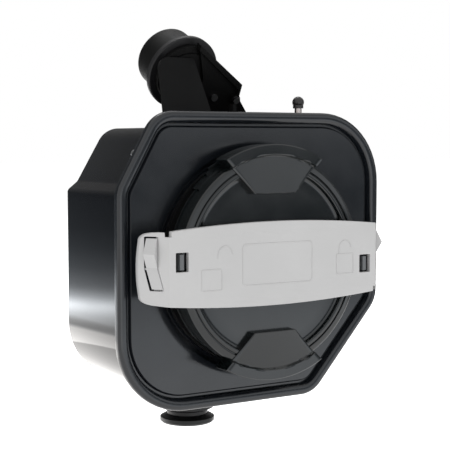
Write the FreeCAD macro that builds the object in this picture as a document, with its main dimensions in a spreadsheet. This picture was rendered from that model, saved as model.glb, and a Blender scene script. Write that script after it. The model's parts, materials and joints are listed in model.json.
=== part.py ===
import FreeCAD, Part
import math
import os
import Sketcher

# Generator inlet box: a moulded wall box with a round bayonet cover, a level locking bar,
# a rear-facing conduit neck on top, an earth stud and a drain.
# Frame: +Z up, front towards -Y, origin on the wall face at the centre of the wall holes. Millimetres.

DIMENSIONS = {
    # front panel
    "box_width": 250.0,
    "box_height": 234.0,
    "box_depth": 108.0,
    "panel_edge": 7.0,
    "panel_recess": 3.5,
    "rim_width": 9.0,
    "rim_slope": 5.0,
    "top_cut_run": 33.5,
    "top_cut_rise": 60.0,
    "low_cut_run": 67.0,
    "low_cut_rise": 75.0,
    "round_top_right": 58.0,
    "round_low_left": 60.0,
    "round_cut": 26.0,
    # rear shell
    "shell_half": 118.0,
    "shell_top": 104.5,
    "shell_low": 105.0,
    "shell_wall": 3.0,
    "shell_round": 50.0,
    "shell_round_cut": 12.0,
    "shoulder_height": 54.0,
    "shoulder_inset": 9.0,
    "shoulder_rise": 7.0,
    "shell_cut_top_run": 35.0,
    "shell_cut_low_run": 65.0,
    "shell_cut_low_rise": 69.0,
    "lip_inset": 3.0,
    "lip_thick": 3.0,
    "gasket_thick": 1.0,
    "case_screw": 2.0,
    "case_screw_head": 3.4,
    "case_screw_head_tall": 2.6,
    # wall holes
    "wall_hole_span": 150.0,
    "wall_hole_rise": 136.0,
    "wall_hole": 3.25,
    "wall_seal": 6.0,
    "wall_seal_thick": 2.0,
    # cover, measured from its own centre
    "cover_drop": 1.5,
    "moat": 89.5,
    "moat_floor": 10.0,
    "ledge_inner": 76.0,
    "ledge_thick": 3.0,
    "slot_outer": 82.0,
    "slot_angle": 30.0,
    "lug_angle": 24.0,
    "lug_count": 4.0,
    "lug_outer": 79.5,
    "lug_thick": 4.0,
    "lug_gap": 2.0,
    "drum": 84.5,
    "drum_front": 24.0,
    "drum_wall_tall": 20.0,
    "drum_neck": 80.0,
    "ring_inner": 75.5,
    "disc_recess": 3.5,
    "disc_thick": 3.0,
    "skirt": 74.0,
    "skirt_wall": 3.5,
    "skirt_back": 87.0,
    "detent_start": 117.0,
    "detent_span": 20.0,
    "detent_grow": 1.5,
    "detent_tall": 9.0,
    "slip_outer": 83.5,
    "slip_inner": 77.5,
    "slip_thick": 3.0,
    "seal_thick": 2.6,
    "play": 0.4,
    # finger grips
    "grip_outer": 93.0,
    "grip_front": 27.0,
    "grip_tall": 17.0,
    "grip_half_inner": 19.5,
    "grip_inner": 54.5,
    "grip_half_outer": 46.5,
    "grip_outer_rise": 82.5,
    "scoop": 46.0,
    "scoop_deep": 2.2,
    # locking bar
    "bar_front": 30.0,
    "bar_thick": 4.6,
    "bar_half": 113.5,
    "bar_flat_half": 98.0,
    "bar_end_drop": 20.0,
    "bar_mid_rise": 33.0,
    "bar_end_rise": 26.5,
    "bar_end_round": 6.0,
    "bar_bow": 1.5,
    "bar_notch_wide": 4.0,
    "bar_notch_tall": 7.5,
    "window_centre": 86.8,
    "window_wide": 11.0,
    "window_tall": 14.6,
    "window_offset": 4.9,
    "post_wide": 3.4,
    "post_tall": 11.6,
    "post_recess": 0.8,
    "ear_reach": 93.5,
    "ear_deep": 12.0,
    "ear_tall": 30.6,
    # rockers
    "rocker_outer": 6.5,
    "rocker_inner": 15.5,
    "rocker_top": 23.0,
    "rocker_low": 15.0,
    "rocker_gap": 1.0,
    "rocker_thick": 3.0,
    "rocker_kink": 4.5,
    "pad_rise": 5.6,
    "pivot_radius": 1.0,
    "pivot_hole": 1.05,
    "spring_thick": 0.6,
    "spring_gap": 1.6,
    # conduit neck, on the hub's axis and in absolute places
    "neck_x": -31.0,
    "neck_y": -45.0,
    "neck_z": 149.5,
    "neck_tilt": 27.0,
    "hub_spigot": 20.5,
    "hub_ring": 26.0,
    "hub_step_long": 1.5,
    "hub_ring_long": 5.0,
    "coupling": 31.7,
    "coupling_long": 6.0,
    "coupling_play": 0.3,
    "coupling_fit": 0.08,
    "sleeve_long": 27.0,
    "socket_long": 4.0,
    "sleeve_bore": 21.0,
    "hub_wall": 4.0,
    "duct_left": 64.0,
    "duct_left_back": 38.0,
    "duct_right": 17.0,
    "duct_front": 68.0,
    "duct_back": 30.0,
    "room_left": 43.0,
    "room_right": 23.0,
    "room_front": 60.0,
    "room_back": 42.0,
    "room_step": 126.0,
    "room_high_right": 31.0,
    "room_high_front": 54.0,
    "room_top": 147.0,
    "plate_lean": 12.5,
    "plate_long": 52.0,
    "plate_thick": 3.0,
    "plate_corner": 9.0,
    "plate_top_left": 63.0,
    "plate_top_right": 30.0,
    "foot_left": 66.0,
    "foot_left_back": 26.0,
    "foot_right": 50.0,
    "foot_front": 79.0,
    "foot_back": 18.0,
    "foot_thick": 4.0,
    "neck_gasket": 1.5,
    "neck_hole_gap": 3.5,
    "foot_bolt": 2.5,
    "foot_bolt_head": 3.4,
    "foot_bolt_tall": 5.0,
    "foot_spacer_bolt_tall": 14.5,
    "brace_thick": 4.0,
    "brace_rim": 7.0,
    "brace_rim_wide": 4.5,
    "brace_start": 2.5,
    "brace_start_rise": 30.0,
    "brace_reach": 51.9,
    "brace_corner_low": 3.2,
    "brace_corner_tall": 11.4,
    "brace_toe": 76.0,
    "brace_foot": 41.8,
    "brace_screw": 2.0,
    "brace_screw_head": 3.0,
    # earth stud
    "stud_x": 62.5,
    "stud_y": -77.0,
    "stud": 3.0,
    "stud_low": 90.0,
    "stud_tip": 124.0,
    "stud_nut": 5.4,
    "stud_nut_tall": 5.0,
    "stud_washer": 5.5,
    "stud_washer_thick": 1.2,
    "cap_round": 5.0,
    "cap_low": 121.5,
    # drain
    "drain_x": -36.0,
    "drain_y": -58.0,
    "drain_ring": 21.5,
    "drain_waist": 17.0,
    "drain_spigot": 13.0,
    "drain_bore": 11.0,
    "drain_ring_low": 126.0,
    "drain_body_low": 130.7,
    "drain_low": 138.0,
    "drain_cap": 22.5,
    "drain_seal": 1.5,
    "drain_nut": 19.0,
    "drain_nut_tall": 5.0,
    # inside
    "deck": 71.0,
    "deck_front": 84.0,
    "deck_thick": 2.0,
    "pillar": 5.0,
    "pillar_reach": 47.0,
    "pillar_screw": 2.5,
    "inlet_flange": 42.0,
    "inlet_flange_thick": 3.0,
    "inlet_shroud": 30.0,
    "inlet_bore": 26.5,
    "inlet_mouth": 109.0,
    "inlet_tail": 44.0,
    "inlet_wall": 4.0,
    "inlet_screw_reach": 25.8,
    "pin_reach": 11.0,
    "pin_front": 102.0,
    "pin_wide": 2.0,
    "pin_tall": 8.0,
    "rail_drop": 84.0,
    "rail_long": 92.0,
    "rail_tall": 35.0,
    "rail_deep": 7.5,
    "terminal_pitch": 12.0,
    "terminal_wide": 10.0,
    "terminal_tall": 33.0,
    "terminal_deep": 24.0,
    "lead": 2.6,
    "lead_lane": 25.0,
}

doc = FreeCAD.newDocument("generator_inlet_box")
sheet = doc.addObject("Spreadsheet::Sheet", "dims")
for row, (alias, number) in enumerate(DIMENSIONS.items(), start=1):
    sheet.set("A%d" % row, alias)
    sheet.set("B%d" % row, repr(number))
    sheet.setAlias("B%d" % row, alias)
doc.recompute()

UPWARD = FreeCAD.Rotation()
FORWARD = FreeCAD.Rotation(FreeCAD.Vector(1, 0, 0), 90)
BACKWARD = FreeCAD.Rotation(FreeCAD.Vector(1, 0, 0), -90)
ACROSS = FreeCAD.Rotation(FreeCAD.Vector(0, 1, 0), 90)
SIDEWAYS = FreeCAD.Rotation(FreeCAD.Vector(1, 1, 1), 120)
nodes = {}


def size(text):
    """Number given by an expression over the sheet's aliases."""
    return float(sheet.evalExpression(bound(text)))


def bound(text):
    """Expression with every alias written as a cell of the sheet."""
    words = sorted(DIMENSIONS, key=len, reverse=True)
    out = []
    index = 0
    while index < len(text):
        word = next((w for w in words if text.startswith(w, index)), None)
        if word:
            out.append("dims." + word)
            index += len(word)
        else:
            out.append(text[index])
            index += 1
    return "".join(out)


def place(thing, x="0", y="0", z="0", turn=UPWARD):
    """Put an object at sheet-driven coordinates with a fixed turn."""
    thing.Placement = FreeCAD.Placement(FreeCAD.Vector(), turn)
    for axis, text in zip("xyz", (x, y, z)):
        thing.setExpression("Placement.Base." + axis, bound(text))
    return thing


def free_placed(body, placement):
    """Give an object a placement that isn't along the frame's axes."""
    for axis in "xyz":
        body.setExpression("Placement.Base." + axis, None)
    body.Placement = placement
    return body


def on_hub(body, along="0", across="0", down="0"):
    """Place a body on the hub's axis: along it to the rear, across to the right and down its flange."""
    turn = FreeCAD.Rotation(FreeCAD.Vector(1, 0, 0), size("neck_tilt") - 90)
    centre = FreeCAD.Vector(size("neck_x"), size("neck_y"), size("neck_z"))
    shift = turn.multVec(FreeCAD.Vector(size(across), size(down), size(along)))
    return free_placed(body, FreeCAD.Placement(centre + shift, turn))


def primitive(kind, name, sizes, x="0", y="0", z="0", turn=UPWARD):
    thing = doc.addObject("Part::" + kind, name)
    for key, text in sizes.items():
        thing.setExpression(key, bound(text))
    return place(thing, x, y, z, turn)


def rod(name, radius, length, x="0", y="0", z="0", turn=UPWARD):
    return primitive("Cylinder", name, {"Radius": radius, "Height": length}, x, y, z, turn)


def block(name, length, width, height, x="0", y="0", z="0", turn=UPWARD):
    return primitive("Box", name, {"Length": length, "Width": width, "Height": height}, x, y, z, turn)


def cut(name, base, *tools):
    thing = doc.addObject("Part::Cut", name)
    thing.Base = base
    thing.Tool = tools[0] if len(tools) == 1 else fuse(name + "_tools", *tools)
    return thing


def fuse(name, *parts):
    thing = doc.addObject("Part::MultiFuse", name)
    thing.Shapes = list(parts)
    return thing


def common(name, first, second):
    thing = doc.addObject("Part::Common", name)
    thing.Base = first
    thing.Tool = second
    return thing


def group(name, parts):
    thing = doc.addObject("Part::Compound", name)
    thing.Links = list(parts)
    return thing


def node(name, thing):
    """Register a finished sub-part under the name of its file."""
    thing.Label = name
    nodes[name] = thing
    return thing


def sketch_outline(body, role, points):
    """Closed outline whose corners are driven by pairs of expressions."""
    sketch = body.newObject("Sketcher::SketchObject", body.Name + "_outline")
    plane = next(f for f in body.Origin.OriginFeatures if f.Role == role)
    sketch.AttachmentSupport = (plane, [""])
    sketch.MapMode = "FlatFace"
    corners = [FreeCAD.Vector(size(x), size(y), 0) for x, y in points]
    for index, corner in enumerate(corners):
        following = corners[(index + 1) % len(corners)]
        sketch.addGeometry(Part.LineSegment(corner, following), False)
    for index in range(len(corners)):
        joined = (index + 1) % len(corners)
        sketch.addConstraint(Sketcher.Constraint("Coincident", index, 2, joined, 1))
    for index, (pair, corner) in enumerate(zip(points, corners)):
        for kind, text, value, own_axis in (("DistanceX", pair[0], corner.x, -2),
                                            ("DistanceY", pair[1], corner.y, -1)):
            if text == "0":
                sketch.addConstraint(Sketcher.Constraint("PointOnObject", index, 1, own_axis))
                continue
            number = sketch.addConstraint(Sketcher.Constraint(kind, -1, 1, index, 1, value))
            sketch.setExpression("Constraints[%d]" % number, bound(text))
    return sketch


def turned(name, points, x="0", y="0", z="0", turn=UPWARD):
    """Body turned about its own Z axis from an outline of (radius, height) pairs."""
    body = doc.addObject("PartDesign::Body", name)
    sketch = sketch_outline(body, "XZ_Plane", points)
    revolution = body.newObject("PartDesign::Revolution", name + "_turned")
    revolution.Profile = sketch
    revolution.ReferenceAxis = (sketch, ["V_Axis"])
    revolution.Angle = 360
    body.Tip = revolution
    return place(body, x, y, z, turn)


def upright_edge(shape, corner, along):
    """Number of the edge that lies on the line through a corner."""
    for index, edge in enumerate(shape.Edges, start=1):
        points = [vertex.Point for vertex in edge.Vertexes]
        if len(points) == 2 and all(p.distanceToLine(corner, along) < 1e-4 for p in points):
            return index
    raise RuntimeError("no edge at %s" % corner)


def padded(name, role, points, length, rounds=(), x="0", y="0", z="0", turn=UPWARD):
    """Body padded from an outline, with (corner number, radius) rounds on its upright edges."""
    body = doc.addObject("PartDesign::Body", name)
    sketch = sketch_outline(body, role, points)
    pad = body.newObject("PartDesign::Pad", name + "_pad")
    pad.Profile = sketch
    pad.setExpression("Length", bound(length))
    body.Tip = pad
    doc.recompute()
    along = {"XZ_Plane": FreeCAD.Vector(0, -1, 0), "XY_Plane": FreeCAD.Vector(0, 0, 1)}[role]
    for number, radius in rounds:
        px, py = size(points[number][0]), size(points[number][1])
        corner = FreeCAD.Vector(px, 0, py) if role == "XZ_Plane" else FreeCAD.Vector(px, py, 0)
        base = body.Tip
        index = upright_edge(base.Shape, corner, along)
        fillet = body.newObject("PartDesign::Fillet", "%s_round_%d" % (name, number))
        fillet.Base = (base, ["Edge%d" % index])
        fillet.setExpression("Radius", bound(radius))
        body.Tip = fillet
        doc.recompute()
    return place(body, x, y, z, turn)


def panel_outline(inset):
    """Six corners of the front outline, moved in by an expression."""
    left = "-box_width/2 + (%s)" % inset
    right = "box_width/2 - (%s)" % inset
    top = "box_height/2 - (%s)" % inset
    low = "-box_height/2 + (%s)" % inset
    top_shift = "(%s)*0.56" % inset
    low_shift = "(%s)*0.45" % inset
    return [
        ("-box_width/2 + top_cut_run + " + top_shift, top),
        (right, top),
        (right, "-box_height/2 + low_cut_rise + " + low_shift),
        ("box_width/2 - low_cut_run - " + low_shift, low),
        (left, low),
        (left, "box_height/2 - top_cut_rise - (%s)*0.26" % inset),
    ]


def panel_slab(name, inset, thick, y):
    """Slab with the front outline moved in by an expression, its back face at y."""
    rounds = [
        (1, "round_top_right - (%s)" % inset),
        (4, "round_low_left - (%s)" % inset),
        (0, "round_cut - (%s)" % inset),
        (2, "round_cut - (%s)" % inset),
        (3, "round_cut - (%s)" % inset),
        (5, "round_cut - (%s)" % inset),
    ]
    return padded(name, "XZ_Plane", panel_outline(inset), thick, rounds, y=y)


def shell_outline(inset):
    """Seven corners of the shell behind the panel, with the shoulder at its upper left."""
    left = "-shell_half + (%s)" % inset
    right = "shell_half - (%s)" % inset
    return [
        ("-shell_half + shell_cut_top_run + (%s)*0.56" % inset, "shell_top - (%s)" % inset),
        (right, "shell_top - (%s)" % inset),
        (right, "-shell_low + shell_cut_low_rise + (%s)*0.45" % inset),
        ("shell_half - shell_cut_low_run - (%s)*0.45" % inset, "-shell_low + (%s)" % inset),
        (left, "-shell_low + (%s)" % inset),
        (left, "shoulder_height - (%s)*0.5" % inset),
        ("-shell_half + shoulder_inset + (%s)" % inset, "shoulder_height + shoulder_rise - (%s)*0.5" % inset),
    ]


def shell_slab(name, inset, length, y):
    rounds = [
        (1, "shell_round - (%s)" % inset),
        (4, "shell_round - (%s)" % inset),
        (0, "shell_round_cut"),
        (2, "shell_round_cut"),
        (3, "shell_round_cut"),
    ]
    return padded(name, "XZ_Plane", shell_outline(inset), length, rounds, y=y)


def case_screw_places():
    """Centres (x, z) of the screws round the lip, on its wide stretches."""
    top = "shell_top + (box_height/2 - shell_top)/2"
    low = "-shell_low - (box_height/2 - shell_low)/2"
    return [
        ("-box_width/4", top),
        ("0", top),
        ("box_width/4", top),
        ("-box_width/4 + low_cut_run/8", low),
        ("-low_cut_run/8", low),
        ("low_cut_run*0.6", low),
        ("-box_width/2 + top_cut_run/2 + 5", "box_height/2 - top_cut_rise/2 - 3"),
        ("box_width/2 - low_cut_run/2 - 4", "-box_height/2 + low_cut_rise/2 + 4"),
    ]


def wall_places(x="wall_hole_span/2", z="wall_hole_rise/2"):
    """The four corners of a rectangle centred on the origin."""
    return [(sx + x, sz + z) for sx in ("-", "") for sz in ("-", "")]


def make_rear_shell():
    outer = shell_slab("shell_block", "0", "box_depth - panel_edge - gasket_thick", "0")
    inner = shell_slab("shell_room", "shell_wall", "box_depth", "-shell_wall")
    lip = panel_slab("shell_lip", "lip_inset", "lip_thick", "-box_depth + panel_edge + gasket_thick + lip_thick")
    solid = fuse("shell_solid", outer, lip)
    holes = [inner]
    for number, (x, z) in enumerate(wall_places()):
        holes.append(rod("wall_hole_%d" % number, "wall_hole", "shell_wall*3", x, "shell_wall", z, FORWARD))
    for number, (x, z) in enumerate(case_screw_places()):
        holes.append(rod("lip_hole_%d" % number, "case_screw + 0.1", "box_depth", x, "0", z, FORWARD))
    holes.append(rod("drain_hole", "drain_spigot + 0.1", "shell_wall*3", "drain_x", "drain_y",
                     "-shell_low - shell_wall"))
    holes.append(rod("stud_hole", "stud + 0.1", "shell_wall*3", "stud_x", "stud_y", "shell_top - shell_wall*2"))
    holes.append(block("neck_hole", "room_left - room_right + 2*neck_hole_gap",
                       "room_front - room_back + 2*neck_hole_gap", "shell_wall*3", "-room_left - neck_hole_gap",
                       "-room_front - neck_hole_gap", "shell_top - shell_wall*2"))
    node("rear_shell", cut("rear_shell_cut", solid, *holes))


def make_front_panel():
    slab = panel_slab("panel_slab", "0", "panel_edge", "-box_depth + panel_edge")
    recess = panel_slab("panel_recess_tool", "rim_width", "panel_recess*2", "-box_depth + panel_recess")
    slope = panel_slab("panel_slope_tool", "rim_slope", "panel_recess", "-box_depth + panel_recess/3")
    boss = rod("panel_moat_boss", "moat + 3", "moat_floor - panel_recess + ledge_thick", "0",
               "-box_depth + moat_floor + ledge_thick", "-cover_drop", FORWARD)
    moat = rod("panel_moat", "moat", "moat_floor*2", "0", "-box_depth + moat_floor", "-cover_drop", FORWARD)
    mouth = rod("panel_mouth", "ledge_inner", "box_depth", "0", "0", "-cover_drop", FORWARD)
    solid = fuse("panel_solid", slab, boss)
    slots = bayonet_sectors("panel_slot", "slot_outer", "slot_angle",
                            "-box_depth + moat_floor + ledge_thick*2", "ledge_thick*3")
    screw_holes = []
    for number, (x, z) in enumerate(case_screw_places()):
        screw_holes.append(rod("panel_screw_hole_%d" % number, "case_screw", "panel_edge - 2", x,
                               "-box_depth + panel_edge", z, FORWARD))
    node("front_panel", cut("front_panel_cut", solid, recess, slope, moat, mouth, *slots, *screw_holes))


def bayonet_sectors(name, outer, angle, back, length):
    """Pie sectors of the bayonet at equal turns round the cover's axis, growing forward from back."""
    sectors = []
    count = int(size("lug_count"))
    for number in range(count):
        sector = doc.addObject("Part::Cylinder", "%s_%d" % (name, number))
        sector.setExpression("Radius", bound(outer))
        sector.setExpression("Height", bound(length))
        sector.setExpression("Angle", bound(angle))
        start = 45 + 360 / count * number - size(angle) / 2
        turn = FORWARD.multiply(FreeCAD.Rotation(FreeCAD.Vector(0, 0, 1), start))
        sectors.append(place(sector, "0", back, "-cover_drop", turn))
    return sectors


def make_panel_gasket():
    outer = panel_slab("gasket_outer", "lip_inset + 1", "gasket_thick", "-box_depth + panel_edge + gasket_thick")
    inner = shell_slab("gasket_inner", "shell_wall", "box_depth", "0")
    holes = [inner]
    for number, (x, z) in enumerate(case_screw_places()):
        holes.append(rod("gasket_hole_%d" % number, "case_screw + 0.1", "box_depth", x, "0", z, FORWARD))
    node("panel_gasket", cut("panel_gasket_cut", outer, *holes))


def make_case_screws():
    """Pan-head screws driven from behind the lip into the panel."""
    back = "-box_depth + panel_edge + gasket_thick + lip_thick"
    screws = []
    for number, (x, z) in enumerate(case_screw_places()):
        head = rod("case_head_%d" % number, "case_screw_head", "case_screw_head_tall", x,
                   back + " + case_screw_head_tall", z, FORWARD)
        shank = rod("case_shank_%d" % number, "case_screw", "lip_thick + gasket_thick + panel_edge - 2.5", x, back, z,
                    FORWARD)
        drive = block("case_drive_%d" % number, "case_screw_head", "1.2", "0.8", x + " - case_screw_head/2",
                      back + " + case_screw_head_tall - 1.1", z + " - 0.4")
        screws.append(cut("case_screw_%d" % number, fuse("case_body_%d" % number, head, shank), drive))
    node("case_screws", group("case_screws_group", screws))


def make_wall_seals():
    """Rubber washers round the wall holes, inside the box."""
    seals = []
    for number, (x, z) in enumerate(wall_places()):
        outer = rod("wall_seal_outer_%d" % number, "wall_seal", "wall_seal_thick", x, "-shell_wall", z, FORWARD)
        inner = rod("wall_seal_inner_%d" % number, "wall_hole", "wall_seal_thick*3", x, "0", z, FORWARD)
        seals.append(cut("wall_seal_%d" % number, outer, inner))
    node("wall_seals", group("wall_seals_group", seals))


def make_cover_drum():
    """Ring, recessed disc, side wall, neck and skirt of the cover, turned in one piece."""
    step = "-moat_floor + seal_thick + slip_thick + play*2"
    points = [
        ("0", "drum_front - disc_recess"),
        ("ring_inner - 3", "drum_front - disc_recess"),
        ("ring_inner - 0.8", "drum_front"),
        ("drum - 1.2", "drum_front"),
        ("drum", "drum_front - 1.2"),
        ("drum", "drum_front - drum_wall_tall"),
        ("drum_neck", "drum_front - drum_wall_tall"),
        ("drum_neck", step),
        ("skirt", step),
        ("skirt", "-box_depth + skirt_back"),
        ("skirt - skirt_wall", "-box_depth + skirt_back"),
        ("skirt - skirt_wall", "drum_front - disc_recess - disc_thick"),
        ("0", "drum_front - disc_recess - disc_thick"),
    ]
    drum = turned("cover_drum_turned", points, "0", "-box_depth", "-cover_drop", FORWARD)
    lugs = bayonet_sectors("cover_lug", "lug_outer", "lug_angle",
                           "-box_depth + moat_floor + ledge_thick + lug_gap + lug_thick", "lug_thick")
    core = rod("lug_core", "skirt - 1", "box_depth", "0", "-box_depth/2", "-cover_drop", FORWARD)
    lug_ring = cut("cover_lug_ring", fuse("cover_lugs", *lugs), core)
    ears = block("drum_ears_block", "ear_reach*2", "ear_deep", "ear_tall", "-ear_reach",
                 "-box_depth - drum_front + 1", "-cover_drop - ear_tall/2")
    ear_core = rod("ear_core", "drum - 1", "box_depth", "0", "-box_depth/2", "-cover_drop", FORWARD)
    ear_pair = cut("drum_ears", ears, ear_core)
    posts = []
    for name, side in (("left", "-"), ("right", "")):
        posts.append(block("drum_post_" + name, "post_wide", "bar_front - drum_front + 1 - post_recess",
                           "post_tall", "%swindow_centre - post_wide/2" % side, "-box_depth - bar_front + post_recess",
                           "-cover_drop %s window_offset - post_tall/2" % ("+" if side else "-")))
    detents = detent_blocks()
    node("cover_drum", fuse("cover_drum_fused", drum, lug_ring, ear_pair, *detents))
    node("snap_posts", group("snap_posts_group", posts))


def detent_blocks():
    """Stepped blocks on the drum's side wall, opposite each other."""
    blocks = []
    for number in range(2):
        turn = FORWARD.multiply(FreeCAD.Rotation(FreeCAD.Vector(0, 0, 1), size("detent_start") + 180 * number))
        for step in (1, 2, 3):
            sector = doc.addObject("Part::Cylinder", "detent_%d_%d" % (number, step))
            sector.setExpression("Radius", bound("drum + detent_grow*%d" % step))
            sector.setExpression("Height", bound("detent_tall/%d" % step))
            sector.setExpression("Angle", bound("detent_span/%d" % step))
            place(sector, "0", "-box_depth - drum_front + drum_wall_tall", "-cover_drop", turn)
            core = rod("detent_core_%d_%d" % (number, step), "drum - 1", "box_depth", "0", "-box_depth/2",
                       "-cover_drop", FORWARD)
            blocks.append(cut("detent_block_%d_%d" % (number, step), sector, core))
    return blocks


def make_slip_ring():
    """Ring between cover and seal that stays still while the cover turns."""
    ring = turned("slip_ring_turned", [("slip_inner", "0"), ("slip_outer", "0"), ("slip_outer", "slip_thick"),
                                       ("slip_inner", "slip_thick")],
                  "0", "-box_depth + moat_floor - seal_thick - play", "-cover_drop", FORWARD)
    node("slip_ring", ring)
    seal = turned("cover_seal_turned", [("slip_inner + 0.6", "0"), ("slip_outer - 0.6", "0"),
                                        ("slip_outer - 1.2", "seal_thick"), ("slip_inner + 1.2", "seal_thick")],
                  "0", "-box_depth + moat_floor - play", "-cover_drop", FORWARD)
    node("cover_seal", seal)


def make_grip(name, side):
    """Finger grip: a flared block that overhangs the ring, with a scoop in its front face."""
    points = [
        ("-grip_half_inner", "grip_inner"),
        ("grip_half_inner", "grip_inner"),
        ("grip_half_outer", "grip_outer_rise"),
        ("grip_half_outer + 4", "grip_outer_rise + 14"),
        ("-grip_half_outer - 4", "grip_outer_rise + 14"),
        ("-grip_half_outer", "grip_outer_rise"),
    ]
    turn = UPWARD if side > 0 else FreeCAD.Rotation(FreeCAD.Vector(0, 1, 0), 180)
    wedge = padded(name + "_wedge", "XZ_Plane", points, "grip_tall", (), "0",
                   "-box_depth - grip_front + grip_tall", "-cover_drop", turn)
    round_edge = rod(name + "_arc", "grip_outer", "grip_tall", "0", "-box_depth - grip_front + grip_tall",
                     "-cover_drop", FORWARD)
    flared = common(name + "_flared", wedge, round_edge)
    seat = rod(name + "_seat", "drum + 0.2", "box_depth", "0", "-box_depth - drum_front - 0.02", "-cover_drop",
               FreeCAD.Rotation(FreeCAD.Vector(1, 0, 0), -90))
    foot = common(name + "_foot",
                  padded(name + "_foot_wedge", "XZ_Plane", points, "grip_front - drum_front + disc_recess", (), "0",
                         "-box_depth - drum_front + disc_recess", "-cover_drop", turn),
                  rod(name + "_foot_arc", "ring_inner - 3.2", "grip_tall", "0",
                      "-box_depth - drum_front + disc_recess", "-cover_drop", FORWARD))
    scoop_rise = "grip_inner + 15" if side > 0 else "-grip_inner - 15"
    scoop = rod(name + "_scoop", "scoop", "box_width", "-box_width/2",
                "-box_depth - grip_front - scoop + scoop_deep", "-cover_drop + " + scoop_rise,
                ACROSS)
    solid = fuse(name + "_solid", cut(name + "_over", flared, seat), foot)
    node(name, cut(name + "_cut", solid, scoop))


def make_lock_bar():
    """Bar across the cover: a lens-shaped face whose two ends slope back to the panel."""
    front = "-box_depth - bar_front"
    end = front + " + bar_end_drop"
    plan = [
        ("-bar_half", end),
        ("-bar_flat_half", front),
        ("bar_flat_half", front),
        ("bar_half", end),
        ("bar_half - bar_thick", end),
        ("bar_flat_half - 2", front + " + bar_thick"),
        ("-bar_flat_half + 2", front + " + bar_thick"),
        ("-bar_half + bar_thick", end),
    ]
    strip = padded("bar_strip", "XY_Plane", plan, "bar_mid_rise*2", (), "0", "0", "-cover_drop - bar_mid_rise")
    face = doc.addObject("Part::Feature", "bar_face")
    face.Shape = bar_face_shape()
    face.Placement = FreeCAD.Placement(FreeCAD.Vector(0, 0, -size("cover_drop")), UPWARD)
    openings = []
    for side, sign in (("left", -1), ("right", 1)):
        middle = "%swindow_centre" % ("-" if sign < 0 else "")
        offset = "%s window_offset" % ("+" if sign < 0 else "-")
        openings.append(block("bar_window_" + side, "window_wide", "bar_thick*3", "window_tall",
                              middle + " - window_wide/2", front + " - bar_thick",
                              "-cover_drop %s - window_tall/2" % offset))
        notch_x = "%sbar_flat_half - bar_notch_wide/2" % ("-" if sign < 0 else "")
        notch_low = "bar_end_rise - bar_notch_tall + 4" if sign < 0 else "-bar_end_rise - 4"
        openings.append(block("bar_notch_" + side, "bar_notch_wide", "bar_thick*4", "bar_notch_tall",
                              notch_x, front + " - bar_thick", "-cover_drop + " + notch_low))
        openings.append(rocker_solid("bar_slot_" + side, sign, "rocker_gap", "bar_thick*6", "-bar_thick*3"))
    node("lock_bar", cut("lock_bar_cut", common("bar_body", strip, face), *openings))


def bar_face_shape():
    """Front outline of the bar as a solid: long arcs above and below, bowed ends, rounded corners."""
    half = size("bar_half")
    rise = size("bar_end_rise")
    middle = size("bar_mid_rise")
    bow = size("bar_bow")
    corners = [FreeCAD.Vector(sx * (half - bow), 0, sz * rise)
               for sx, sz in ((-1, 1), (1, 1), (1, -1), (-1, -1))]
    middles = [FreeCAD.Vector(0, 0, middle), FreeCAD.Vector(half, 0, 0),
               FreeCAD.Vector(0, 0, -middle), FreeCAD.Vector(-half, 0, 0)]
    edges = []
    for index in range(4):
        arc = Part.Arc(corners[index], middles[index], corners[(index + 1) % 4])
        edges.append(arc.toShape())
    block_shape = Part.Face(Part.Wire(edges)).extrude(FreeCAD.Vector(0, -size("box_depth") * 2, 0))
    upright = [e for e in block_shape.Edges if len(e.Vertexes) == 2
               and abs(e.Vertexes[0].Y - e.Vertexes[1].Y) > size("box_depth")]
    return block_shape.makeFillet(size("bar_end_round"), upright)


def ramp_frame(sign):
    """Placement of a bar end's slope: X up the slope from its outer end, Y upward, Z out of the face."""
    run = size("bar_half - bar_flat_half")
    drop = size("bar_end_drop")
    length = math.hypot(run, drop)
    up_slope = FreeCAD.Vector(-sign * run / length, -drop / length, 0)
    upward = FreeCAD.Vector(0, 0, 1)
    outward = FreeCAD.Vector(sign * drop / length, -run / length, 0)
    corner = FreeCAD.Vector(sign * size("bar_half"), -size("box_depth + bar_front - bar_end_drop"),
                            -size("cover_drop"))
    if sign > 0:
        turn = FreeCAD.Rotation(up_slope * -1, upward, outward, "ZXY")
    else:
        turn = FreeCAD.Rotation(up_slope, upward, outward, "ZXY")
    return FreeCAD.Placement(corner, turn)


def rocker_outline(sign, gap):
    """Kinked tongue on the slope; distances run from the bar's outer end towards its face."""
    flip = "-" if sign > 0 else ""
    pairs = [
        ("rocker_outer - (%s)" % gap, "rocker_top + (%s)" % gap),
        ("rocker_inner + (%s)" % gap, "rocker_top + (%s)" % gap),
        ("rocker_inner + (%s)" % gap, "0"),
        ("rocker_inner + rocker_kink + (%s)" % gap, "-rocker_low - (%s)" % gap),
        ("rocker_outer + rocker_kink - (%s)" % gap, "-rocker_low - (%s)" % gap),
        ("rocker_outer - (%s)" % gap, "0"),
    ]
    return [("%s(%s)" % (flip, across), up) for across, up in pairs]


def rocker_solid(name, sign, gap, thick, start):
    """Rocker outline padded out of the slope, from a start level."""
    body = padded(name, "XY_Plane", rocker_outline(sign, gap), thick)
    return on_ramp(body, sign, start)


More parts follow.
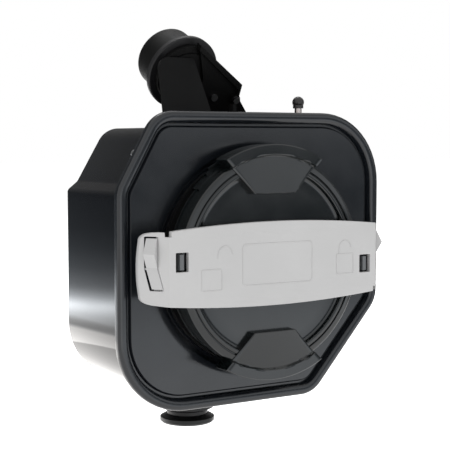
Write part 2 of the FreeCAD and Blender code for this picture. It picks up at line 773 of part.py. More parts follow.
def make_rocker(name, sign):
    """Sprung thumb latch in a bar end, with a ridged pad on its upper half."""
    tongue = rocker_solid(name + "_tongue", sign, "0", "rocker_thick", "-rocker_thick")
    pad = padded(name + "_pad", "XZ_Plane",
                 [("0", "rocker_top"), ("pad_rise", "rocker_top/2"), ("0", "1"), ("-rocker_thick/2", "rocker_top/2")],
                 "rocker_inner - rocker_outer")
    frame = ramp_frame(sign)
    inward = frame.Rotation.multVec(FreeCAD.Vector(-sign, 0, 0))
    outward = frame.Rotation.multVec(FreeCAD.Vector(0, 0, 1))
    upward = FreeCAD.Vector(0, 0, 1)
    for axis in "xyz":
        pad.setExpression("Placement.Base." + axis, None)
    reach = size("rocker_outer") if sign > 0 else size("rocker_inner")
    turn = FreeCAD.Rotation(outward, upward.cross(outward), upward, "XZY")
    pad.Placement = FreeCAD.Placement(frame.Base + inward * reach, turn)
    hole = rod_on_ramp(name + "_pivot_hole", sign, "pivot_hole", "rocker_outer - 2", "rocker_inner + 2")
    node(name, cut(name + "_cut", fuse(name + "_solid", tongue, pad), hole))
    pin = rod_on_ramp(name + "_pivot_pin", sign, "pivot_radius", "rocker_outer - rocker_gap - 2",
                      "rocker_inner + rocker_gap + 2")
    node(name.replace("rocker", "pivot_pin"), pin)
    return pin


def rod_on_ramp(name, sign, radius, start, end):
    """Rod across a bar end at mid height, half a rocker's thickness under the slope."""
    frame = ramp_frame(sign)
    inward = frame.Rotation.multVec(FreeCAD.Vector(-sign, 0, 0))
    outward = frame.Rotation.multVec(FreeCAD.Vector(0, 0, 1))
    thing = doc.addObject("Part::Cylinder", name)
    thing.setExpression("Radius", bound(radius))
    thing.setExpression("Height", bound("(%s) - (%s)" % (end, start)))
    base = frame.Base + inward * size(start) - outward * (size("rocker_thick") / 2)
    thing.Placement = FreeCAD.Placement(base, FreeCAD.Rotation(FreeCAD.Vector(0, 0, 1), inward))
    return thing


def make_rocker_spring(name, sign):
    """Leaf spring behind the lower end of a rocker."""
    outline = [
        ("rocker_outer + rocker_kink", "-rocker_low - 8"),
        ("rocker_inner + rocker_kink - 1", "-rocker_low - 8"),
        ("rocker_inner + rocker_kink - 1", "-rocker_low + 4"),
        ("rocker_outer + rocker_kink", "-rocker_low + 4"),
    ]
    flip = "-" if sign > 0 else ""
    leaf = padded(name, "XY_Plane", [("%s(%s)" % (flip, x), y) for x, y in outline], "spring_thick")
    node(name, on_ramp(leaf, sign, "-rocker_thick - spring_gap"))


def on_ramp(body, sign, level):
    """Place a body on a bar end's slope, a level out of its face."""
    frame = ramp_frame(sign)
    lift = frame.Rotation.multVec(FreeCAD.Vector(0, 0, size(level)))
    return free_placed(body, FreeCAD.Placement(frame.Base + lift, frame.Rotation))


def duct_room(name, low):
    """Passage up the neck: wide from its low end, then narrower up to the hub's bore."""
    wide = block(name + "_wide", "room_left - room_right", "room_front - room_back", "room_step - (%s)" % low,
                 "-room_left", "-room_front", low)
    narrow = block(name + "_narrow", "room_left - room_high_right", "room_high_front - room_back",
                   "room_top - room_step", "-room_left", "-room_high_front", "room_step")
    return fuse(name, wide, narrow)


def foot_bolt_places():
    """Centres (x, y) of the bolts through the neck's foot."""
    return [
        ("-duct_left_back - 2", "-foot_front + 4.4"),
        ("-foot_left_back + 6", "-foot_back - 5"),
        ("foot_right - 41", "-foot_front + 21"),
        ("foot_right - 6", "-foot_front + 8"),
    ]


def foot_outline(inset):
    """Plan of the neck's foot, moved in by an expression."""
    return [
        ("-foot_left + (%s)" % inset, "-foot_front + (%s)" % inset),
        ("foot_right - (%s)" % inset, "-foot_front + (%s)" % inset),
        ("foot_right - (%s)" % inset, "-foot_back - (%s)" % inset),
        ("-foot_left_back + (%s)" % inset, "-foot_back - (%s)" % inset),
    ]


def make_neck():
    """Conduit neck: foot and duct, hub, sleeve and coupling ring, with the duct's cover plate and brace."""
    foot_z = "shell_top + neck_gasket"
    duct_z = foot_z + " + foot_thick"
    bolt_holes = [rod("foot_hole_%d" % number, "foot_bolt + 0.1", "box_width/10", x, y, "shell_top")
                  for number, (x, y) in enumerate(foot_bolt_places())]
    hub = make_neck_hub()
    body = make_neck_body(foot_z, duct_z, bolt_holes)
    make_neck_cover(duct_z, body, hub)
    make_neck_gasket(bolt_holes)
    make_neck_bolts(duct_z)
    make_neck_brace(body, hub)
    sleeve = on_hub(turned("hub_sleeve_turned", [
        ("hub_spigot", "coupling_long"),
        ("hub_ring", "coupling_long"),
        ("hub_ring", "coupling_long + sleeve_long"),
        ("sleeve_bore", "coupling_long + sleeve_long"),
        ("sleeve_bore", "coupling_long + socket_long"),
        ("hub_spigot", "coupling_long + socket_long"),
    ]))
    node("hub_sleeve", sleeve)
    ring = on_hub(turned("coupling_ring_turned", [
        ("hub_spigot + coupling_fit", "coupling_play"),
        ("coupling - 1", "coupling_play"),
        ("coupling", "coupling_play + 1"),
        ("coupling", "coupling_long - coupling_play - 1"),
        ("coupling - 1", "coupling_long - coupling_play"),
        ("hub_spigot + coupling_fit", "coupling_long - coupling_play"),
    ]))
    node("coupling_ring", ring)


def hub_outside(name):
    """Step, ring and spigot of the hub as a solid."""
    return on_hub(turned(name, [
        ("0", "-hub_step_long - hub_ring_long"),
        ("hub_spigot", "-hub_step_long - hub_ring_long"),
        ("hub_spigot", "-hub_ring_long"),
        ("hub_ring", "-hub_ring_long"),
        ("hub_ring", "0"),
        ("hub_spigot", "0"),
        ("hub_spigot", "coupling_long + socket_long"),
        ("0", "coupling_long + socket_long"),
    ]))


def make_neck_hub():
    """Hub with its bore, which starts behind a thin front wall."""
    bore = on_hub(rod("neck_passage", "hub_spigot - hub_wall", "hub_ring_long + coupling_long + socket_long"),
                  "-hub_ring_long + 0.5")
    room = duct_room("hub_room", "shell_top")
    return node("neck_hub", cut("neck_hub_cut", hub_outside("neck_hub_solid"), bore, room))


def make_neck_body(foot_z, duct_z, bolt_holes):
    """Foot and tapered duct, cut away round the hub."""
    foot = padded("neck_foot", "XY_Plane", foot_outline("0"), "foot_thick", (), "0", "0", foot_z)
    side = [
        ("-duct_front", duct_z),
        ("-duct_back", duct_z),
        ("-duct_back", "neck_z - 2"),
        ("-duct_front + plate_long*sin(plate_lean*1deg)", duct_z + " + plate_long*cos(plate_lean*1deg)"),
    ]
    profile = padded("duct_profile", "XY_Plane", side, "duct_left - duct_right", (), "-duct_left", "0", "0",
                     SIDEWAYS)
    plan = [
        ("-duct_left", "-duct_front"),
        ("-duct_right", "-duct_front"),
        ("-duct_right", "-duct_back"),
        ("-duct_left_back", "-duct_back"),
    ]
    prism = padded("duct_plan", "XY_Plane", plan, "neck_z", (), "0", "0", duct_z)
    front = [
        ("-duct_left", duct_z),
        ("-duct_right", duct_z),
        ("-plate_top_right", duct_z + " + plate_long"),
        ("-plate_top_left", duct_z + " + plate_long"),
    ]
    taper = padded("duct_taper", "XZ_Plane", front, "duct_front*2")
    duct = common("neck_duct", common("duct_sides", profile, prism), taper)
    clear = on_hub(rod("neck_clear", "coupling + 0.6", "sleeve_long*2"))
    trimmed = cut("neck_duct_trimmed", duct, clear, hub_outside("duct_hub_space"))
    room = duct_room("neck_room", "shell_top")
    return node("neck_body", cut("neck_body_cut", fuse("neck_solid", foot, trimmed), room, *bolt_holes))


def make_neck_cover(duct_z, body, hub):
    """Tapered plate on the leaning front of the duct."""
    outline = [
        ("-duct_left + 0.5", "0"),
        ("-duct_right - 0.5", "0"),
        ("-plate_top_right", "plate_long"),
        ("-plate_top_left", "plate_long"),
    ]
    plate = padded("neck_cover_plate", "XZ_Plane", outline, "plate_thick",
                   ((2, "plate_corner/3"), (3, "plate_corner")))
    lean = FreeCAD.Rotation(FreeCAD.Vector(1, 0, 0), -size("plate_lean"))
    base = FreeCAD.Vector(0, -size("duct_front"), size(duct_z))
    node("neck_cover", cut("neck_cover_cut", free_placed(plate, FreeCAD.Placement(base, lean)), body, hub))


def make_neck_gasket(bolt_holes):
    slab = padded("neck_gasket_slab", "XY_Plane", foot_outline("1"), "neck_gasket", (), "0", "0", "shell_top")
    node("neck_gasket", cut("neck_gasket_cut", slab, duct_room("gasket_room", "shell_top - 1"), *bolt_holes))


def make_neck_bolts(duct_z):
    """Hexagon-head bolts through the foot."""
    bolts = []
    for number, (x, y) in enumerate(foot_bolt_places()):
        tall = "foot_spacer_bolt_tall" if number == 2 else "foot_bolt_tall"
        head = primitive("Prism", "foot_head_%d" % number, {"Circumradius": "foot_bolt_head", "Height": tall}, x, y,
                         duct_z)
        shank = rod("foot_shank_%d" % number, "foot_bolt", "foot_thick + neck_gasket", x, y, "shell_top")
        bolts.append(fuse("neck_bolt_%d" % number, head, shank))
    node("neck_bolts", group("neck_bolts_group", bolts))


def make_neck_brace(body, hub):
    """Web in front of the hub's ring and down to the foot, with a rim along its sloping edge."""
    web_outline = [
        ("-neck_x - duct_right", "0"),
        ("brace_start", "-brace_start_rise"),
        ("brace_reach", "brace_corner_low"),
        ("brace_reach", "brace_corner_low + brace_corner_tall"),
        ("brace_toe", "brace_foot"),
        ("-neck_x - duct_right", "brace_foot"),
    ]
    rim_outline = [
        ("brace_start", "-brace_start_rise"),
        ("brace_reach", "brace_corner_low"),
        ("brace_reach", "brace_corner_low + brace_corner_tall"),
        ("brace_reach - brace_rim_wide/2", "brace_corner_low + brace_corner_tall"),
        ("brace_reach - brace_rim_wide/2", "brace_corner_low + brace_rim_wide"),
        ("brace_start", "-brace_start_rise + brace_rim_wide"),
    ]
    back = "-hub_ring_long"
    web = on_hub(padded("brace_web", "XY_Plane", web_outline, "brace_thick"), back + " - brace_thick")
    rim = on_hub(padded("brace_rim_strip", "XY_Plane", rim_outline, "brace_rim"), back + " - brace_rim")
    boss_front = back + " - brace_thick*2"
    screw_down = "brace_corner_low + brace_corner_tall + 2"
    boss = on_hub(rod("brace_boss", "brace_screw_head + 1", "brace_thick*2"), boss_front, "brace_reach - 3",
                  screw_down)
    holes = [body, hub]
    screws = []
    for number, (across, start) in enumerate((("brace_reach - 3", boss_front),
                                              ("brace_reach/2 + 3", back + " - brace_thick"))):
        holes.append(on_hub(rod("brace_hole_%d" % number, "brace_screw", "box_width"), "-box_width/2", across,
                            screw_down))
        head = on_hub(rod("brace_head_%d" % number, "brace_screw_head", "2"), start + " - 2", across, screw_down)
        shank = on_hub(rod("brace_shank_%d" % number, "brace_screw", "brace_thick"), start, across, screw_down)
        screws.append(fuse("brace_screw_%d" % number, head, shank))
    node("neck_brace", cut("neck_brace_cut", fuse("brace_solid", web, rim, boss), *holes))
    node("brace_screws", group("brace_screws_group", screws))


def make_earth_stud():
    """Threaded stud through the top of the box, with nuts, washers and a domed cap."""
    node("earth_stud", rod("earth_stud_rod", "stud", "stud_tip - stud_low", "stud_x", "stud_y", "stud_low"))
    bore = rod("earth_bore", "stud", "box_width", "stud_x", "stud_y", "0")
    nuts = []
    washers = []
    for name, washer_z, nut_z in (
            ("outer", "shell_top", "shell_top + stud_washer_thick"),
            ("inner", "shell_top - shell_wall - stud_washer_thick",
             "shell_top - shell_wall - stud_washer_thick - stud_nut_tall")):
        washer = rod("earth_washer_" + name, "stud_washer", "stud_washer_thick", "stud_x", "stud_y", washer_z)
        nut = primitive("Prism", "earth_nut_" + name, {"Circumradius": "stud_nut", "Height": "stud_nut_tall"},
                        "stud_x", "stud_y", nut_z)
        washers.append(cut("earth_washer_cut_" + name, washer, bore))
        nuts.append(cut("earth_nut_cut_" + name, nut, bore))
    node("earth_washers", group("earth_washers_group", washers))
    node("earth_nuts", group("earth_nuts_group", nuts))
    ball = primitive("Sphere", "earth_cap_ball", {"Radius": "cap_round"}, "stud_x", "stud_y", "cap_low + cap_round")
    skirt = rod("earth_cap_skirt", "cap_round - 0.6", "cap_round", "stud_x", "stud_y", "cap_low")
    hole = rod("earth_cap_hole", "stud", "stud_tip - cap_low + 1", "stud_x", "stud_y", "cap_low - 1")
    node("earth_cap", cut("earth_cap_cut", fuse("earth_cap_solid", ball, skirt), hole))


def make_drain():
    """Drain fitting through the floor of the box, closed by a turning cap."""
    body = turned("drain_body_turned", [
        ("drain_bore", "-drain_body_low"),
        ("drain_waist", "-drain_body_low"),
        ("drain_waist", "-drain_ring_low - 2"),
        ("drain_ring", "-drain_ring_low"),
        ("drain_ring", "-shell_low - drain_seal"),
        ("drain_spigot", "-shell_low - drain_seal"),
        ("drain_spigot", "-shell_low + shell_wall + drain_nut_tall + 1"),
        ("drain_bore", "-shell_low + shell_wall + drain_nut_tall + 1"),
    ], "drain_x", "drain_y")
    node("drain_body", body)
    seal = turned("drain_seal_turned", [
        ("drain_spigot", "-shell_low - drain_seal"),
        ("drain_ring - 1", "-shell_low - drain_seal"),
        ("drain_ring - 1", "-shell_low"),
        ("drain_spigot", "-shell_low"),
    ], "drain_x", "drain_y")
    node("drain_seal", seal)
    nut = primitive("Prism", "drain_nut_hex", {"Circumradius": "drain_nut", "Height": "drain_nut_tall"}, "drain_x",
                    "drain_y", "-shell_low + shell_wall")
    thread = rod("drain_nut_thread", "drain_spigot", "box_width/5", "drain_x", "drain_y", "-shell_low")
    node("drain_locknut", cut("drain_nut_cut", nut, thread))
    cap = turned("drain_cap_turned", [
        ("0", "-drain_low"),
        ("drain_cap - 1.5", "-drain_low"),
        ("drain_cap", "-drain_low + 1.5"),
        ("drain_cap", "-drain_low + 4.5"),
        ("drain_waist + 1", "-drain_body_low - 0.3"),
        ("drain_bore - 0.3", "-drain_body_low - 0.3"),
        ("drain_bore - 0.3", "-drain_body_low + 11"),
        ("drain_bore - 2.5", "-drain_body_low + 11"),
        ("drain_bore - 2.5", "-drain_low + 4"),
        ("0", "-drain_low + 4"),
    ], "drain_x", "drain_y")
    node("drain_cap", cap)


def make_deck():
    """Plate behind the cover on four pillars, with its screws."""
    pillars = []
    screws = []
    holes = [rod("deck_inlet_hole", "inlet_shroud + 0.5", "box_depth", "0", "0", "-cover_drop", FORWARD)]
    for number, (x, z) in enumerate(wall_places("pillar_reach", "pillar_reach")):
        height = "-cover_drop + (%s)" % z
        post = rod("pillar_post_%d" % number, "pillar", "deck_front - deck_thick - shell_wall", x, "-shell_wall",
                   height, FORWARD)
        tapped = rod("pillar_tap_%d" % number, "pillar_screw", "12", x, "-deck_front + 12 + deck_thick", height,
                     FORWARD)
        pillars.append(cut("pillar_%d" % number, post, tapped))
        holes.append(rod("deck_hole_%d" % number, "pillar_screw", "box_depth", x, "0", height, FORWARD))
        head = rod("deck_head_%d" % number, "pillar_screw + 0.8", "2", x, "-deck_front", height, FORWARD)
        shank = rod("deck_shank_%d" % number, "pillar_screw", "10", x, "-deck_front + 10", height, FORWARD)
        screws.append(fuse("deck_screw_%d" % number, head, shank))
    plate = rod("deck_disc", "deck", "deck_thick", "0", "-deck_front + deck_thick", "-cover_drop", FORWARD)
    for number, (x, z) in enumerate(wall_places("inlet_screw_reach", "inlet_screw_reach")):
        holes.append(rod("deck_inlet_screw_%d" % number, "brace_screw", "box_depth", x, "0",
                         "-cover_drop + (%s)" % z, FORWARD))
    node("deck_plate", cut("deck_plate_cut", plate, *holes))
    node("deck_pillars", group("deck_pillars_group", pillars))
    node("deck_screws", group("deck_screws_group", screws))


def make_inlet():
    """Flanged power inlet: shroud, insulating face, four blades, gasket and screws."""
    front = "deck_front + gasket_thick"
    housing = turned("inlet_housing_turned", [
        ("0", "inlet_tail"),
        ("inlet_shroud", "inlet_tail"),
        ("inlet_shroud", front),
        ("inlet_flange", front),
        ("inlet_flange", front + " + inlet_flange_thick"),
        ("inlet_shroud", front + " + inlet_flange_thick"),
        ("inlet_shroud", "inlet_mouth"),
        ("inlet_bore", "inlet_mouth"),
        ("inlet_bore", "inlet_tail + inlet_wall"),
        ("0", "inlet_tail + inlet_wall"),
    ], "0", "0", "-cover_drop", FORWARD)
    screw_holes = []
    screws = []
    for number, (x, z) in enumerate(wall_places("inlet_screw_reach", "inlet_screw_reach")):
        height = "-cover_drop + (%s)" % z
        screw_holes.append(rod("inlet_hole_%d" % number, "brace_screw", "box_depth", x, "0", height, FORWARD))
        head = rod("inlet_head_%d" % number, "brace_screw + 1.2", "2", x, "-%s - inlet_flange_thick" %
                   front.replace(" + ", " - "), height, FORWARD)
        shank = rod("inlet_shank_%d" % number, "brace_screw", "inlet_flange_thick + gasket_thick + deck_thick", x,
                    "-deck_front + deck_thick", height, FORWARD)
        screws.append(fuse("inlet_screw_%d" % number, head, shank))
    lead_holes = [rod("inlet_lead_hole_%d" % number, "lead", "inlet_wall*3", x, "-inlet_tail + inlet_wall",
                      "-cover_drop + (%s)" % z, FORWARD)
                  for number, (x, z) in enumerate(wall_places("pin_reach", "pin_reach"))]
    node("inlet_housing", cut("inlet_housing_cut", housing, *screw_holes, *lead_holes))
    node("inlet_screws", group("inlet_screws_group", screws))
    gasket = rod("inlet_gasket_disc", "inlet_flange", "gasket_thick", "0", "-deck_front", "-cover_drop", FORWARD)
    hole = rod("inlet_gasket_hole", "inlet_shroud", "box_depth", "0", "0", "-cover_drop", FORWARD)
    node("inlet_gasket", cut("inlet_gasket_cut", gasket, hole, *screw_holes))
    face = rod("inlet_face_disc", "inlet_bore", "deck_front - inlet_tail - inlet_wall", "0",
               "-inlet_tail - inlet_wall", "-cover_drop", FORWARD)
    blades = []
    for name, (x, z) in zip(LEAD_NAMES, wall_places("pin_reach", "pin_reach")):
        blades.append(block("pin_" + name + "_blade", "pin_wide", "pin_front - inlet_tail - inlet_wall", "pin_tall",
                            "(%s) - pin_wide/2" % x, "-pin_front", "-cover_drop + (%s) - pin_tall/2" % z))
        node("pin_" + name, blades[-1])
    node("inlet_face", cut("inlet_face_cut", face, *blades))


def make_terminals():
    """Rail on the back wall with one terminal for each lead."""
    rail = block("rail_strip", "rail_long", "rail_deep", "rail_tall", "-rail_long/2", "-shell_wall - rail_deep",
                 "-rail_drop - rail_tall/2")
    channel = block("rail_channel", "rail_long*2", "rail_deep", "rail_tall - 10", "-rail_long",
                    "-shell_wall - rail_deep - 1", "-rail_drop - rail_tall/2 + 5")
    node("din_rail", cut("din_rail_cut", rail, channel))
    for number, name in enumerate(LEAD_NAMES):
        centre = "terminal_pitch*(%g)" % (number - 1.5)
        case = block("terminal_%s_case" % name, "terminal_wide", "terminal_deep", "terminal_tall",
                     centre + " - terminal_wide/2", "-shell_wall - rail_deep - terminal_deep",
                     "-rail_drop - terminal_tall/2")
        entry = rod("terminal_%s_entry" % name, "lead", "terminal_tall/3", centre, "-lead_lane",
                    "-rail_drop + terminal_tall/2 - 8")
        driver = rod("terminal_%s_driver" % name, "lead", "terminal_deep/4", centre,
                     "-shell_wall - rail_deep - terminal_deep + 5", "-rail_drop + terminal_tall/4", FORWARD)
        node("terminal_" + name, cut("terminal_%s_cut" % name, case, entry, driver))
        screw = rod("terminal_%s_screw" % name, "lead - 0.4", "2", centre,
                    "-shell_wall - rail_deep - terminal_deep + 5", "-rail_drop + terminal_tall/4", FORWARD)
        terminal_screws.append(screw)
    node("terminal_screws", group("terminal_screws_group", terminal_screws))


def rounded_path(points):
    """Straight runs joined by tangent arcs, each as large as 0.45 of its shorter run allows."""
    edges = []
    start = points[0]
    for before, corner, after in zip(points, points[1:], points[2:]):
        arriving = (corner - before)
        leaving = (after - corner)
        shorter = min(arriving.Length, leaving.Length)
        arriving.normalize()
        leaving.normalize()
        trim = 0.45 * shorter
        entry = corner - arriving * trim
        leave = corner + leaving * trim
        half_turn = arriving.getAngle(leaving) / 2
        radius = trim / math.tan(half_turn)
        towards = (leaving - arriving)
        towards.normalize()
        middle = corner + towards * (radius / math.cos(half_turn) - radius)
        edges.append(Part.LineSegment(start, entry).toShape())
        edges.append(Part.Arc(entry, middle, leave).toShape())
        start = leave
    edges.append(Part.LineSegment(start, points[-1]).toShape())
    return Part.Wire(edges)


def make_leads():
    """Insulated leads from the inlet's tail to the terminals; each lies in one lane behind the deck."""
    lane = -size("lead_lane")
    for number, (name, (x, z)) in enumerate(zip(LEAD_NAMES, wall_places("pin_reach", "pin_reach"))):
        pin_x = size(x)
        pin_z = size(z) - size("cover_drop")
        foot_x = size("terminal_pitch") * (number - 1.5)
        drop = 12.0 if pin_z > 0 else 14.0
        points = [
            FreeCAD.Vector(pin_x, -size("inlet_tail + inlet_wall"), pin_z),
            FreeCAD.Vector(pin_x, lane, pin_z),
            FreeCAD.Vector(foot_x, lane, pin_z - drop),
            FreeCAD.Vector(foot_x, lane, -size("rail_drop - terminal_tall/2 + 8")),
        ]
        path = rounded_path(points)
        section = Part.Wire(Part.makeCircle(size("lead"), points[0], FreeCAD.Vector(0, 1, 0)))
        lead = doc.addObject("Part::Feature", "lead_" + name + "_tube")
        lead.Shape = path.makePipeShell([section], True, False)
        node("lead_" + name, lead)


LEAD_NAMES = ("line_one", "neutral", "earth", "line_two")
terminal_screws = []
make_rear_shell()
make_front_panel()
make_panel_gasket()
make_case_screws()
make_wall_seals()
make_cover_drum()
make_slip_ring()
make_grip("top_grip", 1)
make_grip("bottom_grip", -1)
make_lock_bar()
make_rocker("left_rocker", -1)
make_rocker("right_rocker", 1)
make_rocker_spring("left_spring", -1)
make_rocker_spring("right_spring", 1)
make_neck()
make_earth_stud()
make_drain()
make_deck()
make_inlet()
make_terminals()
make_leads()
doc.recompute()

for thing in doc.Objects:
    if "Invalid" in thing.State or "Error" in thing.State:
        raise RuntimeError("%s failed: %s %s" % (thing.Label, thing.State, thing.getStatusString()))
os.makedirs("parts", exist_ok=True)
for name, thing in nodes.items():
    shape = thing.Shape
    if shape.isNull() or not shape.isValid() or not shape.Solids:
        raise RuntimeError("%s has no valid solid" % name)
    shape.exportStep("parts/%s.step" % name)
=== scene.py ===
import json
import math

import bmesh
import bpy
from mathutils import Matrix, Vector


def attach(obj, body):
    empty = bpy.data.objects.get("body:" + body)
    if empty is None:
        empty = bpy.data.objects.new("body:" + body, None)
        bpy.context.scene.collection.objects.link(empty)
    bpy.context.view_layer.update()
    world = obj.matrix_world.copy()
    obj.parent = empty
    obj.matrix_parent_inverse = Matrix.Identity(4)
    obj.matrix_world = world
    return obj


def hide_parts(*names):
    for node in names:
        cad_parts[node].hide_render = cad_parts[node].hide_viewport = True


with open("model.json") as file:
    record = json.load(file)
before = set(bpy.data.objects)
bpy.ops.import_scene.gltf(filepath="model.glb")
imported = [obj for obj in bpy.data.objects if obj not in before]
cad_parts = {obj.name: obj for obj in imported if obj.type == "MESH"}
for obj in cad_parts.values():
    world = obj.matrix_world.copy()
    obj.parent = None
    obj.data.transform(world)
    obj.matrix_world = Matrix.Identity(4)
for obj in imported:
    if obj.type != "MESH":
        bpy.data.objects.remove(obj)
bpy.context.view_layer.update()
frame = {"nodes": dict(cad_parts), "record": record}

# Looks of the generator inlet box. Frame: +Z up, front towards -Y, wall at Y = 0.
# Outlines are written in millimetres and scaled by MM when a mesh is made.

MM = 0.001
NODES = frame["nodes"]

FRONT = -108.0              # y of the rim's crest
PANEL_BACK = FRONT + 7.0    # y of the panel's back
LIP_FRONT = FRONT + 8.0     # y of the shell's front edge
COVER_Z = -1.5              # height of the cover's axis

# Outlines seen from the front, clockwise: x, z and radius of each corner.
PANEL_CORNERS = [(-91.5, 117, 26), (125, 117, 58), (125, -42, 26), (58, -117, 26), (-125, -117, 60),
                 (-125, 57, 26)]
SHELL_CORNERS = [(-83, 104.5, 20), (118, 104.5, 50), (118, -36, 12), (53, -105, 12), (-118, -105, 50),
                 (-118, 54, 5), (-109, 61, 5)]
RING_STEPS = 240
EDGE_ROUND = 0.4


# ---------------------------------------------------------------- outlines

def inset_corners(corners, inset):
    """Corners of a polygon whose sides have all moved in; corners run clockwise seen from the front."""
    moved = []
    count = len(corners)
    for index in range(count):
        here = Vector(corners[index][:2])
        before = Vector(corners[index - 1][:2])
        after = Vector(corners[(index + 1) % count][:2])
        arriving = (here - before).normalized()
        leaving = (after - here).normalized()
        inward_a = Vector((arriving.y, -arriving.x))
        inward_b = Vector((leaving.y, -leaving.x))
        shift = (inward_a + inward_b) / (1 + inward_a.dot(inward_b))
        turn_right = arriving.x * leaving.y - arriving.y * leaving.x < 0
        radius = corners[index][2] + (-inset if turn_right else inset)
        spot = here + shift * inset
        moved.append((spot.x, spot.y, max(radius, 0.6)))
    return moved


def rounded_outline(corners, arc_steps=14, straight_steps=16):
    """Points round a polygon: an arc at each corner, and evenly spaced points along each straight."""
    arcs = []
    count = len(corners)
    for index in range(count):
        here = Vector(corners[index][:2])
        to_before = (Vector(corners[index - 1][:2]) - here).normalized()
        to_after = (Vector(corners[(index + 1) % count][:2]) - here).normalized()
        half = to_before.angle(to_after) / 2
        radius = corners[index][2]
        middle = here + (to_before + to_after).normalized() * (radius / math.sin(half))
        first = here + to_before * (radius / math.tan(half)) - middle
        last = here + to_after * (radius / math.tan(half)) - middle
        sweep = first.angle_signed(last)
        turns = [-sweep * step / arc_steps for step in range(arc_steps + 1)]
        arcs.append([middle + Matrix.Rotation(turn, 2) @ first for turn in turns])
    points = []
    for index in range(count):
        points += arcs[index]
        start, end = arcs[index][-1], arcs[(index + 1) % count][0]
        points += [start.lerp(end, step / straight_steps) for step in range(1, straight_steps)]
    return points


def outline_ring(corners, inset, y):
    """Points of an outline that has moved in, at one depth."""
    return [(p.x, y, p.y) for p in rounded_outline(inset_corners(corners, inset))]


def on_circle(ring, radius, y):
    """The points of a ring moved onto a circle round the cover's axis, each at its own angle."""
    out = []
    for x, _, z in ring:
        angle = math.atan2(z - COVER_Z, x)
        out.append((radius * math.cos(angle), y, COVER_Z + radius * math.sin(angle)))
    return out


def circle_ring(radius, y):
    """Points of a circle round the cover's axis."""
    angles = [math.tau * step / RING_STEPS for step in range(RING_STEPS)]
    return [(radius * math.cos(angle), y, COVER_Z + radius * math.sin(angle)) for angle in angles]


# ---------------------------------------------------------------- meshes

def new_object(name, mesh_data):
    """Object made from a bmesh, which is freed."""
    mesh = bpy.data.meshes.new(name)
    mesh_data.to_mesh(mesh)
    mesh_data.free()
    thing = bpy.data.objects.new(name, mesh)
    bpy.context.scene.collection.objects.link(thing)
    return thing


def add_rings(bm, rings, closed_end=False, wrap=True):
    """Skin a list of rings that all have the same number of points."""
    rows = [[bm.verts.new(Vector(p) * MM) for p in ring] for ring in rings]
    pairs = list(zip(rows, rows[1:]))
    if closed_end:
        pairs.append((rows[-1], rows[0]))
    for first, second in pairs:
        count = len(first)
        for step in range(count if wrap else count - 1):
            after = (step + 1) % count
            bm.faces.new((first[step], first[after], second[after], second[step]))
    return rows


def smooth(thing, angle=35):
    """Smooth shading except across edges sharper than an angle."""
    for face in thing.data.polygons:
        face.use_smooth = True
    thing.data.set_sharp_from_angle(angle=math.radians(angle))
    return thing


def soften(thing):
    """Small rounds on sharp edges."""
    bevel = thing.modifiers.new("edge_rounds", "BEVEL")
    bevel.width = EDGE_ROUND * MM
    bevel.segments = 2
    bevel.limit_method = "ANGLE"
    bevel.angle_limit = math.radians(40)


def finish_mesh(bm):
    """Weld a bmesh's double points and turn its faces outwards."""
    bmesh.ops.remove_doubles(bm, verts=bm.verts, dist=1e-7)
    bmesh.ops.recalc_face_normals(bm, faces=bm.faces)
    return bm


def place_on(thing, body, slot, material, *replaced):
    """Give a new piece its CAD body, its material and the nodes it stands for; the slot is not used."""
    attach(thing, body)
    if replaced:
        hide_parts(*replaced)
    thing.data.materials.clear()
    thing.data.materials.append(material)
    return thing


# ---------------------------------------------------------------- materials

GRAIN_SCALE = 1500
GRAIN_DEPTH = 0.0001


def material_base(name, metallic):
    """New material, with its node tree, its shader and its texture coordinates."""
    mat = bpy.data.materials.new(name)
    mat.use_nodes = True
    tree = mat.node_tree
    shader = tree.nodes["Principled BSDF"]
    shader.inputs["Metallic"].default_value = metallic
    coords = tree.nodes.new("ShaderNodeTexCoord")
    return mat, tree, shader, coords


def noise(tree, coords, scale, detail=3.0):
    """Noise fixed to the object."""
    node = tree.nodes.new("ShaderNodeTexNoise")
    node.inputs["Scale"].default_value = scale
    node.inputs["Detail"].default_value = detail
    tree.links.new(coords.outputs["Object"], node.inputs["Vector"])
    return node


def ramp_between(tree, source, low, high, start=0.35, end=0.65):
    """Number that runs from low to high as a source goes from start to end."""
    node = tree.nodes.new("ShaderNodeMapRange")
    node.inputs["From Min"].default_value = start
    node.inputs["From Max"].default_value = end
    node.inputs["To Min"].default_value = low
    node.inputs["To Max"].default_value = high
    tree.links.new(source, node.inputs["Value"])
    return node.outputs["Result"]


def mixed(tree, factor, first, second):
    """Colour that goes from the first to the second as a factor rises."""
    node = tree.nodes.new("ShaderNodeMix")
    node.data_type = "RGBA"
    node.inputs["A"].default_value = (*first, 1)
    node.inputs["B"].default_value = (*second, 1)
    tree.links.new(factor, node.inputs["Factor"])
    return node.outputs["Result"]


